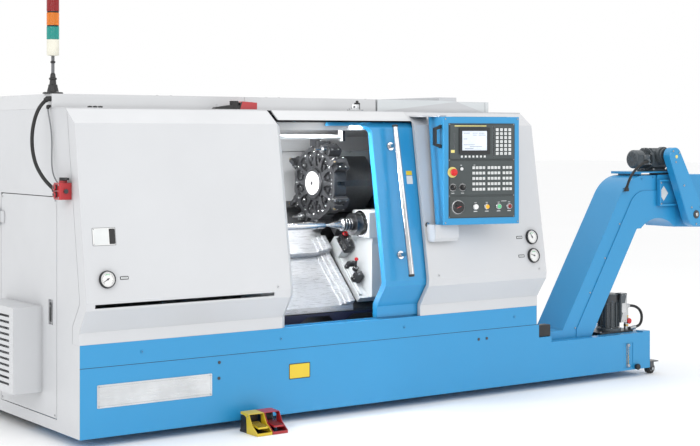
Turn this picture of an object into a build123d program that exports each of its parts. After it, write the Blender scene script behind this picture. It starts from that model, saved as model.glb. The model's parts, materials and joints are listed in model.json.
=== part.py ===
from build123d import *
import os
from math import acos, asin, atan, cos, degrees, pi, radians, sin, sqrt, tan

# Frame while modelling: X runs along the spindle from the left end wall, Y runs from the
# front of the skirt into the depth, Z is up from the floor. The finished part is moved so
# that its origin is under the middle of its box.

# Enclosure
machine_length = 2906.0
machine_depth = 1500.0
floor_gap = 48.0
tank_seam = 381.0
skirt_top = 491.0
skirt_flange = 46.0
ledge_height = 1615.0
roof_height = ledge_height + 73.0
high_roof_end = machine_length - 946.0
ledge_depth = 306.0
sheet = 4.0
seat_gap = 0.3
joint_gap = 4.0
running_gap = 0.05

# Front profile, from the skirt up to the roof ledge
band_top = 549.0
lip_out = 76.0
lip_height = 659.0
foot_out = 81.0
foot_height = 698.0
head_back = 50.0
head_height = ledge_height - 73.0
bevel_back = 150.0
cheek_depth = 72.0
seam = 3.0
cover_raise = 25.0
cover_bevel = 27.0

# Door opening, the sliding door and the covers beside it
left_cover_end = 1165.0
right_cover_start = 2039.0
opening_head = ledge_height - 51.0
slot_left = 46.0
slot_right = 1040.0
door_recess = 28.0
door_depth = 38.0
door_width = 915.0
door_left = 1764.0
door_foot = 499.0
door_arm = 272.0
door_arm_low = ledge_height - 79.0
door_head_share = 0.5
track_front = 34.0
track_width = 8.0
door_handle_x = 1877.0
door_handle_radius = 16.0
handle_foot = 722.0
handle_head = ledge_height - 83.0
handle_out = 62.0
window_left = 330.0
window_right = 860.0
window_foot = 800.0
window_head = ledge_height - 155.0
glass_thickness = 8.0

# Service door in the left end wall
service_front = 248.0
service_rear = 945.0
service_foot = 105.0
service_head = 1187.0
service_axis = (-9.0, service_rear + 12.0)
hinge_levels = (260.0, 1030.0)
hinge_pin = 5.0
vent_front = 425.0
vent_rear = 880.0
vent_foot = 215.0
vent_head = 640.0
vent_out = 151.0
vent_slots = 12

# Slanted bed and the spindle axis
bed_angle = 45.0
spindle_y = 300.0
spindle_z = 990.0
bed_face = 330.0
bed_left = 650.0
bed_right = 2600.0
bed_rear = 1320.0
bed_foot = 60.0
bed_low = -330.0
bed_high = 450.0
pocket_count = 4
foot_radius = 62.0
rail_left = 1250.0
rail_height = 40.0
rail_width = 50.0
tail_rail_low = -262.0
tail_rail_high = 30.0
slide_rail_low = 190.0
slide_rail_high = 400.0

# Covers and guards in the work space
inner_wall = 1120.0
liner_right = machine_length - 146.0
liner_rear = 940.0
liner_ceiling = ledge_height - 63.0
header_foot = liner_ceiling - 40.0
guard_ledge_low = liner_ceiling - 160.0
guard_ledge_high = liner_ceiling - 74.0
lamp_left = 1300.0
lamp_length = 416.0
lamp_radius = 12.0
lamp_y = 300.0
lamp_z = liner_ceiling - 76.0
cover_low_end = -358.0
cover_split = -4.0
cover_lip = 30.0
cover_lower_depth = 262.0
cover_upper_depth = 226.0
way_cover_end = 1752.0
way_cover_step = 10.0
way_cover_steps = 3

# Spindle, chuck and workpiece
headstock_end = 1112.0
guard_length = 110.0
spindle_radius = 70.0
chuck_radius = 105.0
chuck_start = 1190.0
chuck_length = 96.0
jaw_length = 34.0
jaw_width = 32.0
bar_radius = 20.5
bar_end = 1603.0
bar_step = 60.0

# Tailstock
tail_left = 1812.0
tail_length = 330.0
quill_housing = 76.0
quill_radius = 45.0
quill_out = 62.0
flange_radius = 62.0
centre_shank = 14.0
clamp_place = -150.0
clamp_pin = 7.0

# Carriage and turret
turret_reach = 318.0
turret_face = 1690.0
turret_radius = 200.0
turret_width = 80.0
turret_hub = 85.0
station_count = 12
tool_stations = (0, 1, 2, 4, 6, 7, 8, 10)
tool_tip = 262.0
saddle_left = 1800.0
saddle_right = 2290.0
saddle_thick = 70.0
way_width = 110.0

# Control panel
panel_width = 468.0
panel_height = 590.0
panel_foot = 996.0
panel_turn = 13.0
panel_front = 87.0
panel_back = 14.0
panel_left = 22.0
panel_side = 30.0
panel_margin = 36.0
pivot_x = 2120.0
pivot_out = 75.0
pivot_pin = 12.0
bracket_drop = 84.0
stop_place = (0.055, 0.485)
knob_places = ((0.062, 0.325), (0.205, 0.325))
handwheel_place = (0.135, 0.118)
button_shares = (0.40, 0.57, 0.75, 0.91)
control_shaft = 7.0
shaft_depth = 26.0

# Coolant tank and chip conveyor
tank_end = 3849.0
tank_depth = 640.0
tank_low = 268.0
tank_foot = 45.0
tank_wall = 6.0
step_x = 2921.0
wheel_radius = 32.0
wheel_reach = 46.0
wheel_half_gap = 17.0
axle_radius = 6.0
conveyor_front = 70.0
conveyor_width = 230.0
conveyor_angle = 58.5
conveyor_start = 3175.0
conveyor_fold = 318.0
conveyor_foot = 53.0
conveyor_depth = 228.0
conveyor_bend = 240.0
panel_inset = 96.0
head_join = 4150.0
head_top = 1235.0
head_low = 905.0
head_end = 4560.0
arch_start = 3838.0
arch_end = 4138.0
arch_rise = 60.0
shelf_left = 3826.0
shelf_right = 4180.0
shelf_lift = 16.0
motor_y = 150.0
guard_top = (4046.0, 1357.0)
guard_low = (4232.0, 985.0)
guard_top_radius = 52.0
guard_low_radius = 76.0
guard_front = -34.0
guard_back = 22.0
pump_x = 3640.0
pump_y = 150.0

# Main-switch box, signal tower and gauges
box_front = 80.0
box_depth = 74.0
box_foot = 1178.0
box_rise = 80.0
box_width = 62.0
lever_pin = 8.0
tower_x = 29.0
tower_y = 360.0
lens_radius = 31.0
lens_height = 62.0
gauge_radius = 42.0
gauge_places = ((113.0, 803.0), (machine_length - 94.0, 898.0), (machine_length - 93.0, 792.0))
cabinet_ends = (machine_length - 485.0, machine_length - 357.0, machine_length - 111.0)

# Foot pedals
pedal_x = 850.0
pedal_front = -220.0
pedal_depth = 172.0
pedal_pitch = 92.0
pedal_height = 102.0
pedal_sheet = 3.0
pedal_pin = 5.0


def box(x0, x1, y0, y1, z0, z1):
    """A block between six planes."""
    middle = ((x0 + x1) / 2, (y0 + y1) / 2, (z0 + z1) / 2)
    return Pos(*middle) * Box(x1 - x0, y1 - y0, z1 - z0)


def prism_x(points, x0, x1):
    """A closed outline of (Y, Z) points carried along X."""
    outline = Polyline(*[(x0, y, z) for y, z in points], close=True)
    return extrude(make_face(outline), amount=x1 - x0, dir=(1, 0, 0))


def prism_y(points, y0, y1):
    """A closed outline of (X, Z) points carried along Y."""
    outline = Polyline(*[(x, y0, z) for x, z in points], close=True)
    return extrude(make_face(outline), amount=y1 - y0, dir=(0, 1, 0))


def prism_z(points, z0, z1):
    """A closed outline of (X, Y) points carried along Z."""
    outline = Polyline(*[(x, y, z0) for x, y in points], close=True)
    return extrude(make_face(outline), amount=z1 - z0, dir=(0, 0, 1))


def rod(start, end, radius):
    """A round bar between two points."""
    axis = Vector(*end) - Vector(*start)
    base = Plane(origin=start, z_dir=axis)
    return base * Cylinder(radius, axis.length, align=(Align.CENTER, Align.CENTER, Align.MIN))


def offset_path(path, distance):
    """The open (Y, Z) path moved sideways, away from the front, with mitred corners."""
    normals = []
    for (y0, z0), (y1, z1) in zip(path, path[1:]):
        length = sqrt((y1 - y0) ** 2 + (z1 - z0) ** 2)
        normals.append(((z1 - z0) / length, (y0 - y1) / length))
    moved = []
    for index, (y, z) in enumerate(path):
        before = normals[max(index - 1, 0)]
        after = normals[min(index, len(normals) - 1)]
        scale = distance / (1 + before[0] * after[0] + before[1] * after[1])
        moved.append((y + scale * (before[0] + after[0]), z + scale * (before[1] + after[1])))
    return moved


def ribbon(path, near, far):
    """The closed outline between two offsets of a path."""
    return offset_path(path, near) + list(reversed(offset_path(path, far)))


def slope(s, n):
    """A (Y, Z) point, s up the bed's slant and n square to it, from the spindle axis."""
    a = radians(bed_angle)
    return (spindle_y + s * cos(a) - n * sin(a), spindle_z + s * sin(a) + n * cos(a))


def slope_box(x0, x1, s0, s1, n0, n1):
    """A block that lies square to the slanted bed."""
    corners = [slope(s0, n0), slope(s1, n0), slope(s1, n1), slope(s0, n1)]
    return prism_x(corners, x0, x1)


front_path = [
    (0.0, skirt_top + seat_gap),
    (0.0, band_top),
    (-lip_out, lip_height),
    (-foot_out, foot_height),
    (head_back, head_height),
    (bevel_back, ledge_height),
]
panel_lean = degrees(atan((head_back + foot_out) / (head_height - foot_height)))


def front_y(z):
    """Where the sloped front stands at a height between its foot and its head."""
    return -foot_out + (z - foot_height) * tan(radians(panel_lean))


def front_plane(x, z, out=0.0):
    """A plane on the sloped front, facing out, with its own X along the machine."""
    a = radians(panel_lean)
    facing = Vector(0, -cos(a), sin(a))
    point = Vector(x, front_y(z), z) + facing * out
    return Plane(origin=point, x_dir=(1, 0, 0), z_dir=facing)


# Enclosure

def make_bed():
    """The cast bed: a slanted face with four guide rails on a base block with rear pockets."""
    low = slope(bed_low, -bed_face)
    high = slope(bed_high, -bed_face)
    rear = bed_rear
    base_front = tank_depth + 30
    outline = [
        low,
        high,
        (rear - 120, high[1]),
        (rear, high[1] - 160),
        (rear, bed_foot),
        (base_front, bed_foot),
        (base_front, tank_seam + 30),
        (low[0] + 40, tank_seam + 30),
        (low[0], low[1] - 60),
    ]
    body = prism_x(outline, bed_left, bed_right)
    for s in (tail_rail_low, tail_rail_high, slide_rail_low, slide_rail_high):
        body = body + slope_box(rail_left, bed_right, s, s + rail_width, -bed_face - 1, rail_height - bed_face)
    pitch = (bed_right - bed_left) / pocket_count
    for index in range(pocket_count):
        x = bed_left + (index + 0.5) * pitch
        body = body - box(x - pitch * 0.3, x + pitch * 0.3, rear - 60, rear + 10, 260, 620)
    return body


def foot_places():
    middle = (bed_left + bed_right) / 2
    reach = (bed_right - bed_left) / 2 - 90
    rows = (tank_depth + 110, bed_rear - 80)
    return [(middle + side * reach, y) for side in (-1, 0, 1) for y in rows]


def behind_profile(distance, x0, x1):
    """Everything behind a line that follows the front profile and runs on up past the ledge."""
    path = offset_path(front_path[:5], distance)
    (ya, za), (yb, zb) = path[-2], path[-1]
    path.append((yb + 0.2 * (yb - ya), zb + 0.2 * (zb - za)))
    return prism_x(path + [(machine_depth + 10, path[-1][1]), (machine_depth + 10, path[0][1])], x0, x1)


def cheek(x0, x1, depth):
    """The side return of a front cover, from the profile back to a line parallel to it."""
    outline = front_path + [(bevel_back + 200, ledge_height), (bevel_back + 200, skirt_top + seat_gap)]
    return prism_x(outline, x0, x1) - behind_profile(depth, x0 - 1, x1 + 1)


def cover_sheet(x0, x1, left_return, right_return, bevel=0.0):
    """A raised front cover of folded sheet with a return at each end, or a slanted right end."""
    cover = prism_x(ribbon(front_path, 0, sheet), x0, x1 - bevel)
    cover = cover + cheek(x0, x0 + sheet, left_return)
    if not bevel:
        return cover + cheek(x1 - sheet, x1, right_return)
    faces = []
    for x, depth in ((x1 - bevel, 0.0), (x1, cover_raise - sheet)):
        points = ribbon(front_path, depth, depth + sheet)
        faces.append(make_face(Polyline(*[(x, y, z) for y, z in points], close=True)))
    return cover + loft(faces, ruled=True)


def make_levelling_feet():
    """Six round pads, each with a neck that seats under the bed."""
    feet = []
    for x, y in foot_places():
        pad = rod((x, y, 0), (x, y, 22), foot_radius)
        neck = rod((x, y, 22), (x, y, bed_foot), 24)
        feet.append(pad + neck)
    return feet


def make_skirt():
    """The blue band over the tank: a sheet with flanges, and the door's lower track."""
    outline = [(0, tank_seam), (0, skirt_top), (skirt_flange, skirt_top), (skirt_flange, skirt_top - sheet)]
    outline += [(sheet, skirt_top - sheet), (sheet, tank_seam + sheet), (skirt_flange, tank_seam + sheet)]
    outline += [(skirt_flange, tank_seam)]
    band = prism_x(outline, sheet + seat_gap, machine_length - sheet - seat_gap)
    track = box(left_cover_end + 8, machine_length - 60, track_front, track_front + track_width,
                skirt_top - 1, door_foot - seat_gap)
    return band + track


def make_coolant_tank():
    """The long blue tank: full height under the machine, lower beyond its right end."""
    left = sheet + seat_gap
    shoulder = tank_seam - 78
    body = prism_y(
        [(left, tank_foot), (tank_end, tank_foot), (tank_end, tank_low), (step_x + 100, tank_low),
         (step_x + 100, shoulder), (step_x, shoulder), (step_x, tank_seam - seat_gap), (left, tank_seam - seat_gap)],
        0, tank_depth)
    body = body - box(0, 26, service_front - 12, tank_depth + 1, 0, tank_seam + 1)
    slot = box(conveyor_start - 251, conveyor_start + 420, conveyor_front - 1, conveyor_front + conveyor_width + 1,
               tank_foot + tank_wall, tank_seam + 1)
    room = box(conveyor_start + 300, tank_end - tank_wall, conveyor_front - 1, tank_depth - tank_wall,
               tank_foot + tank_wall, tank_low - tank_wall)
    body = body - slot - room
    body = body + box(tank_end - 60, tank_end, 0, 60, tank_low - 1, tank_low + 6)
    body = body - box(3612, 3700, -1, 3, 60, 212)
    body = body + rod((3656, 5, 70), (3656, 5, 200), 8)
    body = body + rod((3728, -22, 62), (3728, 1, 62), 15)
    for y in wheel_rows():
        body = body + make_wheel_fork(y)
    return body


def make_front_cover_right():
    """The right cover; the door passes behind its left return."""
    return cover_sheet(right_cover_start, machine_length, door_recess - joint_gap, cheek_depth)


def make_front_cover_left():
    """The large left cover with its long grip slot and slanted right end."""
    cover = cover_sheet(0, left_cover_end, cheek_depth, 0.0, cover_bevel)
    grip = box(slot_left, slot_right, -foot_out - 20, -foot_out + 30, foot_height - 28, foot_height - 10)
    return cover - grip


def make_wheel_fork(y):
    """A plate on the tank's end with a shelf and two cheeks that hold a wheel's axle."""
    x = tank_end + wheel_reach
    plate = box(tank_end - 1, tank_end + 12, y - 34, y + 34, 62, 150)
    shelf = box(tank_end, x + 44, y - 34, y + 34, wheel_radius * 2 + 10, wheel_radius * 2 + 16)
    for side in (-1, 1):
        near, far = sorted((y + side * wheel_half_gap, y + side * (wheel_half_gap + 5)))
        shelf = shelf + box(x - 16, x + 16, near, far, wheel_radius - 14, wheel_radius * 2 + 11)
    bore = rod((x, y - 40, wheel_radius), (x, y + 40, wheel_radius), axle_radius + running_gap)
    return plate + (shelf - bore)


def wheel_rows():
    return (48.0, tank_depth - 60)


def make_tank_wheel(y):
    """A solid castor wheel with its axle through the fork's cheeks."""
    x = tank_end + wheel_reach
    tread = rod((x, y - 14, wheel_radius), (x, y + 14, wheel_radius), wheel_radius)
    axle = rod((x, y - wheel_half_gap - 8, wheel_radius), (x, y + wheel_half_gap + 8, wheel_radius), axle_radius)
    return tread + axle


def make_chip_trough():
    """The dark channel behind the skirt, with two arched chip openings in its rear wall."""
    nose_y, nose_z = slope(cover_low_end, -cover_lower_depth)
    rear = nose_y - 10
    floor_z = tank_seam + seat_gap
    top_z = nose_z - cover_lip - 4
    x0, x1 = inner_wall + sheet + 1, right_cover_start + 60
    front = skirt_flange + 6
    outline = [(front, floor_z), (rear, floor_z), (rear, top_z), (rear - sheet, top_z)]
    outline += [(rear - sheet, floor_z + sheet), (front + sheet, floor_z + sheet)]
    outline += [(front + sheet, skirt_top - 14), (front, skirt_top - 14)]
    trough = prism_x(outline, x0, x1)
    for start, end in ((1385.0, 1610.0), (1685.0, 1895.0)):
        height = top_z - 14
        arch = prism_y([(start, floor_z + 30), (start, height - 34), (start + 56, height), (end - 30, height),
                        (end, height - 26), (end, floor_z + 30)], rear - 2 * sheet, rear + sheet)
        trough = trough - arch
    return trough


def make_casing():
    """Left end wall, rear wall and right end wall, folded round the machine."""
    shape = offset_path(front_path, sheet + seat_gap) + [(bevel_back + 6, ledge_height)]
    shape += [(machine_depth, ledge_height), (machine_depth, skirt_top + seat_gap)]
    upper = prism_x(shape, 0, machine_length) & behind_profile(cheek_depth + seam, -1, machine_length + 1)
    ends = box(0, sheet, -200, machine_depth, 0, ledge_height + 1)
    ends = ends + box(machine_length - sheet, machine_length, -200, machine_depth, 0, ledge_height + 1)
    upper = upper & ends
    low = skirt_top + seat_gap
    left = box(0, sheet, 0, machine_depth, floor_gap, skirt_top) + box(0, sheet, cheek_depth + seam, machine_depth,
                                                                       skirt_top - 1, low + 1)
    right = prism_x([(0, tank_seam), (0, skirt_top), (cheek_depth + seam, skirt_top), (cheek_depth + seam, low + 1),
                     (machine_depth, low + 1), (machine_depth, floor_gap), (tank_depth + 10, floor_gap),
                     (tank_depth + 10, tank_seam)], machine_length - sheet, machine_length)
    rear = box(0, machine_length, machine_depth - sheet, machine_depth, floor_gap, ledge_height)
    doorway = box(-1, sheet + 1, service_front, service_rear, service_foot, service_head)
    wall = upper + left + right + rear - doorway
    for bracket in hinge_brackets():
        wall = wall + bracket
    return wall


def make_service_door():
    """The flush door in the left end wall, with its louvred vent box and hinge leaves."""
    gap = joint_gap
    leaf = box(0, 18, service_front + gap, service_rear - gap, service_foot + gap, service_head - gap)
    corner = leaf.edges().filter_by(Axis.X).sort_by(Axis.Z)[-2:].sort_by(Axis.Y)[-1]
    leaf = fillet(corner, 24)
    edge = gap + 14
    door = leaf - box(sheet, 19, service_front + edge, service_rear - edge, service_foot + edge, service_head - edge)
    door = door + box(0, 14, 290, 351, 556, 686) - box(-1, 12, 294, 347, 560, 682)
    door = door + box(1, 12.5, 312, 329, 575, 667)
    vent = box(-vent_out, 0.5, vent_front, vent_rear, vent_foot, vent_head)
    vent = vent - box(-vent_out + sheet, 1, vent_front + sheet, vent_rear - sheet, vent_foot + sheet,
                      vent_head - sheet)
    pitch = (vent_head - vent_foot - 60) / vent_slots
    for index in range(vent_slots):
        z = vent_foot + 30 + (index + 0.5) * pitch
        vent = vent - box(-vent_out - 1, -vent_out + sheet + 1, vent_front + 50, vent_rear - 50, z - 6, z + 6)
    hx, hy = service_axis
    for z in hinge_levels:
        knuckle = rod((hx, hy, z), (hx, hy, z + 60), 9)
        strap = box(-6, -seat_gap, service_rear - 50, hy, z, z + 60)
        strap = strap + box(-1, 0.5, service_rear - 50, service_rear - gap - 2, z, z + 60)
        bore = rod((hx, hy, z - 1), (hx, hy, z + 61), hinge_pin + running_gap)
        door = door + (strap + knuckle - bore)
    return door + vent


def hinge_brackets():
    """Two pin brackets, part of the end wall, that carry the service door."""
    hx, hy = service_axis
    pins = []
    for z in hinge_levels:
        pin = rod((hx, hy, z - 14), (hx, hy, z + 74), hinge_pin)
        for base in (z - 14, z + 60 + seat_gap):
            ear = box(-18, 0.5, hy - 9, hy + 9, base, base + 14 - seat_gap)
            pin = pin + ear + box(-4, 0.5, hy, hy + 46, base, base + 14 - seat_gap)
        pins.append(pin)
    return pins


def make_roof_cover():
    """The roof: header strip over the opening, ledge, riser and the high rear housing."""
    t = sheet
    ledge = box(0, machine_length, bevel_back, ledge_depth, ledge_height + seat_gap, ledge_height + t)
    outline = [(ledge_depth, ledge_height + seat_gap), (ledge_depth, roof_height),
               (machine_depth, roof_height), (machine_depth, ledge_height + seat_gap)]
    housing = prism_x(outline, 0, high_roof_end)
    inner = box(t, high_roof_end - t, ledge_depth + t, machine_depth - t, ledge_height - 1, roof_height - t)
    seam_cut = box(1094, 1098, ledge_depth - 1, ledge_depth + 1.5, ledge_height + 10, roof_height + 1)
    flat = box(high_roof_end, machine_length, ledge_depth, machine_depth, ledge_height + seat_gap, ledge_height + t)
    slant = (bevel_back - head_back) / (ledge_height - head_height)
    head_y = head_back + (opening_head - head_height) * slant
    strip = prism_x(
        [(head_y, opening_head), (bevel_back, ledge_height + seat_gap), (bevel_back + 1, ledge_height + t),
         (bevel_back + 12, ledge_height + seat_gap), (head_y + 12, opening_head)],
        left_cover_end + 1, right_cover_start - 1)
    return ledge + (housing - inner - seam_cut) + flat + strip


def make_interior_liner():
    """The splash guard: headstock wall, ceiling, header, rear guard, right wall and lamp."""
    t = sheet
    low = slope(bed_high, -bed_face)[1] + seat_gap
    front = offset_path(door_path(), door_recess + door_depth + 8)[3:6]
    upper = slope(bed_high + 4, 6 - bed_face)
    lower = slope(bed_low - 20, 6 - bed_face)
    side = [*front, (153, liner_ceiling), (liner_rear, liner_ceiling), (liner_rear, low)]
    side += [(upper[0], low), upper, lower, (lower[0] - 60, lower[1])]
    left = prism_x(side, inner_wall, inner_wall + t)
    axis = (spindle_y, spindle_z)
    left = left - rod((inner_wall - 5, *axis), (inner_wall + 10, *axis), spindle_radius + 30)
    right_wall = prism_x(side, liner_right, liner_right + t)
    top = box(inner_wall, liner_right + t, 150, liner_rear, liner_ceiling, liner_ceiling + t)
    header = box(inner_wall + t, liner_right, 190, 190 + t, header_foot, liner_ceiling + 1)
    header = header + box(inner_wall + t, liner_right, 190, 214, header_foot, header_foot + t)
    rear = box(inner_wall, liner_right + t, liner_rear - t, liner_rear, low, liner_ceiling + 1)
    rear = rear + box(inner_wall, bed_right - 10, liner_rear - t, liner_rear + 30, low, low + t)
    ledge = prism_x([(liner_rear - 60, guard_ledge_high), (liner_rear, guard_ledge_high),
                     (liner_rear, guard_ledge_low), (liner_rear - 24, guard_ledge_low)], inner_wall + t, liner_right)
    rail_y, rail_z = door_head()
    rail = box(inner_wall, liner_right + t, rail_y + seat_gap, rail_y + 14, header_foot, liner_ceiling + 1)
    lamp_end = lamp_left + lamp_length
    lamp = rod((lamp_left, lamp_y, lamp_z), (lamp_end, lamp_y, lamp_z), lamp_radius)
    lamp = lamp + box(lamp_left - 14, lamp_left + 2, lamp_y - 16, lamp_y + 16, lamp_z - 18, liner_ceiling + 1)
    lamp = lamp + box(lamp_end - 2, lamp_end + 16, lamp_y - 20, lamp_y + 20, lamp_z - 24, liner_ceiling + 1)
    return left + right_wall + top + header + rear + ledge + rail + lamp


def door_head():
    """The rear edge of the door's head, where its upper guide rail runs."""
    points = offset_path(door_path(), door_recess + door_depth)
    return points[-1]


def make_way_covers():
    """Two stainless covers over the bed, each with stepped ends towards the tailstock."""
    x0 = inner_wall + sheet + joint_gap
    t = 3.0
    mid = cover_split
    top = slide_rail_low - 14
    step_end = slide_rail_low - 96
    covers = []
    for s0, s1, depth in ((cover_low_end, mid, cover_lower_depth), (mid + seat_gap, top, cover_upper_depth)):
        plate = slope_box(x0, way_cover_end, s0, s1, -depth - t, -depth)
        for step in range(1, way_cover_steps + 1):
            inset = (way_cover_steps + 1 - step) * 26
            rise = step * way_cover_step
            plate = plate + slope_box(way_cover_end - inset, way_cover_end, s0 + 4, min(s1, step_end), -depth - t,
                                      rise - depth)
        covers.append(plate)
    low_plate, high_plate = covers
    nose = slope(cover_low_end, -cover_lower_depth)
    lip = box(x0, way_cover_end, nose[0], nose[0] + t, nose[1] - cover_lip, nose[1] - 1)
    below = -cover_lower_depth - 1
    low_leg = slope_box(x0, way_cover_end, tail_rail_low - 50, tail_rail_low - 44, -bed_face, below)
    mid_leg = slope_box(x0, way_cover_end, mid - 30, mid - 24, -bed_face, below)
    leg_end = -cover_upper_depth - 1
    front_leg = slope_box(x0, way_cover_end, mid + seat_gap, mid + t, seat_gap - cover_lower_depth, leg_end)
    top_leg = slope_box(x0, way_cover_end, top - 6, top, -bed_face, leg_end)
    return [low_plate + lip + low_leg + mid_leg, high_plate + front_leg + top_leg]


# Spindle

def make_headstock():
    """The casting that carries the spindle, with its belt guard and drive motor."""
    left = bed_left - seat_gap
    front = spindle_y - 175
    outline = [slope(-150, -bed_face), slope(190, -bed_face), slope(190, 60), (spindle_y + 130, spindle_z + 175),
               (spindle_y - 130, spindle_z + 175), (front, spindle_z + 120), (front, spindle_z - 140)]
    body = prism_x(outline, bed_left, headstock_end)
    guard = box(left - guard_length, bed_left + 0.5, front + 15, spindle_y + 250, spindle_z - 150, spindle_z + 170)
    guard = fillet(guard.edges().filter_by(Axis.X), 40)
    bore_start = left - guard_length + 20
    bore = rod((bore_start, spindle_y, spindle_z), (headstock_end + 5, spindle_y, spindle_z),
               spindle_radius + running_gap)
    motor_y, motor_z = spindle_y + 140, spindle_z + 40
    start = left - guard_length - 280
    motor = rod((start, motor_y, motor_z), (left - guard_length + 1, motor_y, motor_z), 105)
    for index in range(6):
        x = start + 30 + index * 34
        motor = motor + rod((x, motor_y, motor_z), (x + 12, motor_y, motor_z), 118)
    return body + guard + motor - bore


def make_spindle():
    """The spindle with its nose and the chuck body, slotted for three jaws."""
    left = bed_left - guard_length + 40
    axis = (spindle_y, spindle_z)
    shaft = rod((left, *axis), (chuck_start - 24, *axis), spindle_radius)
    nose = rod((chuck_start - 26, *axis), (chuck_start, *axis), chuck_radius - 12)
    body = rod((chuck_start, *axis), (chuck_start + chuck_length, *axis), chuck_radius)
    body = chamfer(body.edges().filter_by(GeomType.CIRCLE).sort_by(Axis.X)[-1], 6)
    body = body - rod((chuck_start + 44, *axis), (chuck_start + 50, *axis), chuck_radius + 1)
    body = body + rod((chuck_start + 43, *axis), (chuck_start + 51, *axis), chuck_radius - 2)
    bore = rod((chuck_start - 40, *axis), (chuck_start + chuck_length + 5, *axis), bar_radius + running_gap)
    chuck = shaft + nose + body - bore
    for index in range(3):
        chuck = chuck - jaw_channel(index)
    return chuck


def jaw_frame(index):
    """Radial frame of a chuck jaw: its local Z runs outward from the spindle axis."""
    angle = 90 + 120 * index
    return Location((0, spindle_y, spindle_z), (1, 0, 0), angle - 90)


def jaw_channel(index):
    face = chuck_start + chuck_length
    half = jaw_width / 2 + seat_gap
    slot = box(face - 18, face + 5, -half, half, bar_radius + 4, chuck_radius + 5)
    return jaw_frame(index) * slot


def make_jaw(index):
    """A stepped top jaw with a bevelled gripping end."""
    face = chuck_start + chuck_length
    half = jaw_width / 2
    base = box(face - 18 + seat_gap, face + 12, -half, half, bar_radius + 8, chuck_radius - 8)
    grip = prism_x([(-half, bar_radius + 16), (-8, bar_radius + seat_gap), (8, bar_radius + seat_gap),
                    (half, bar_radius + 16), (half, chuck_radius - 30), (-half, chuck_radius - 30)],
                   face + 11, face + jaw_length)
    return jaw_frame(index) * (base + grip)


def make_workpiece():
    """The turned bar between chuck and live centre, stepped down at its end."""
    axis = (spindle_y, spindle_z)
    bar = rod((chuck_start - 30, *axis), (bar_end - bar_step, *axis), bar_radius)
    return bar + rod((bar_end - bar_step - 1, *axis), (bar_end, *axis), bar_radius - 3)


# Tailstock

def make_tailstock_body():
    """The tailstock: a quill housing on a wedge that sits on the two lower rails."""
    left, right = tail_left, tail_left + tail_length
    box_left = left + 38
    half = quill_housing
    front = spindle_y - half - 8
    seat = rail_height - bed_face
    top = tail_rail_high + rail_width + 6
    toe = bed_low + 8
    housing = box(box_left, right, front, spindle_y + half, spindle_z - half, spindle_z + half)
    housing = chamfer(housing.edges().filter_by(Axis.X).group_by(Axis.Z)[-1], 10)
    foot = slope(toe, seat + 34)
    outline = [(front + 8, spindle_z - half + 10), (front + 8, foot[1] + 6), foot, slope(toe, seat),
               slope(top, seat), slope(top, seat + 150), (spindle_y + half - 4, spindle_z - half + 10)]
    wedge = prism_x(outline, box_left + 24, right)
    root = front + 8
    brow = prism_x([(front, spindle_z - half + 1), (root, spindle_z - half - 34), (root + 8, spindle_z - half - 34),
                    (root + 8, spindle_z - half + 1)], box_left + 24, right)
    rail = slope_box(left, right, toe, top, seat, seat + 34)
    ridge = slope_box(left + 4, left + 20, toe + 20, -40, seat + 33, seat + 46)
    step = slope_box(left, right, -24, top, seat + 33, seat + 92)
    body = housing + wedge + brow + rail + ridge + step
    for s in (tail_rail_low, tail_rail_high):
        body = body + slope_box(left + 10, right - 10, s - 12, s - seat_gap, seat - 14, seat + 1)
    x, y, z = clamp_pivot()
    body = body + slope_box(x - 20, x + 30, clamp_place - 26, clamp_place + 26, seat + 33, seat + 70)
    ny, nz = clamp_normal()
    socket = rod((x, y - ny * 40, z - nz * 40), (x, y + ny * 5, z + nz * 5), clamp_pin + running_gap)
    bore = rod((left - 40, spindle_y, spindle_z), (right + 5, spindle_y, spindle_z), quill_radius + running_gap)
    recess = rod((box_left - 5, spindle_y, spindle_z), (box_left + 66, spindle_y, spindle_z), flange_radius + 1)
    return body - socket - bore - recess


def make_quill():
    """The quill with its front flange and a bore for the live centre's shank."""
    axis = (spindle_y, spindle_z)
    flange_x = tail_left + 38 - quill_out
    tube = rod((flange_x, *axis), (tail_left + tail_length - 30, *axis), quill_radius)
    flange = rod((flange_x, *axis), (flange_x + 34, *axis), flange_radius)
    rim = rod((flange_x + 34, *axis), (flange_x + 46, *axis), flange_radius - 6)
    bore = rod((flange_x - 5, *axis), (flange_x + 91, *axis), centre_shank + running_gap)
    return tube + flange + rim - bore


def make_live_centre():
    """The live centre: a round bearing body with a long cone that meets the bar."""
    axis = (spindle_y, spindle_z)
    flange_x = tail_left + 38 - quill_out
    shank = rod((flange_x - 2, *axis), (flange_x + 90, *axis), centre_shank)
    body = rod((flange_x - 78, *axis), (flange_x - seat_gap, *axis), 36)
    body = chamfer(body.edges().filter_by(GeomType.CIRCLE).sort_by(Axis.X)[0], 9)
    cone_start = flange_x - 78
    tip = bar_end + seat_gap
    base = Plane(origin=(cone_start + 1, *axis), z_dir=(-1, 0, 0))
    cone = base * Cone(24, 4, cone_start + 1 - tip, align=(Align.CENTER, Align.CENTER, Align.MIN))
    return shank + body + cone


def clamp_pivot():
    """The clamp lever's seat on top of its lug."""
    y, z = slope(clamp_place, rail_height - bed_face + 70)
    return (tail_left + 34, y, z)


def clamp_normal():
    a = radians(bed_angle)
    return (-sin(a), cos(a))


def make_clamp_lever():
    """The tailstock's clamp lever: a pinned round hub with a slim handle and a ball end."""
    x, y, z = clamp_pivot()
    ny, nz = clamp_normal()
    pin = rod((x, y - ny * 36, z - nz * 36), (x, y + ny, z + nz), clamp_pin)
    hub = rod((x, y + ny * seat_gap, z + nz * seat_gap), (x, y + ny * 22, z + nz * 22), 16)
    start = (x, y + ny * 12, z + nz * 12)
    end = (x - 8, y + ny * 60 + 14, z + nz * 60 + 20)
    return pin + hub + rod(start, end, 6) + Pos(*end) * Sphere(9)


# Carriage and turret

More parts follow.
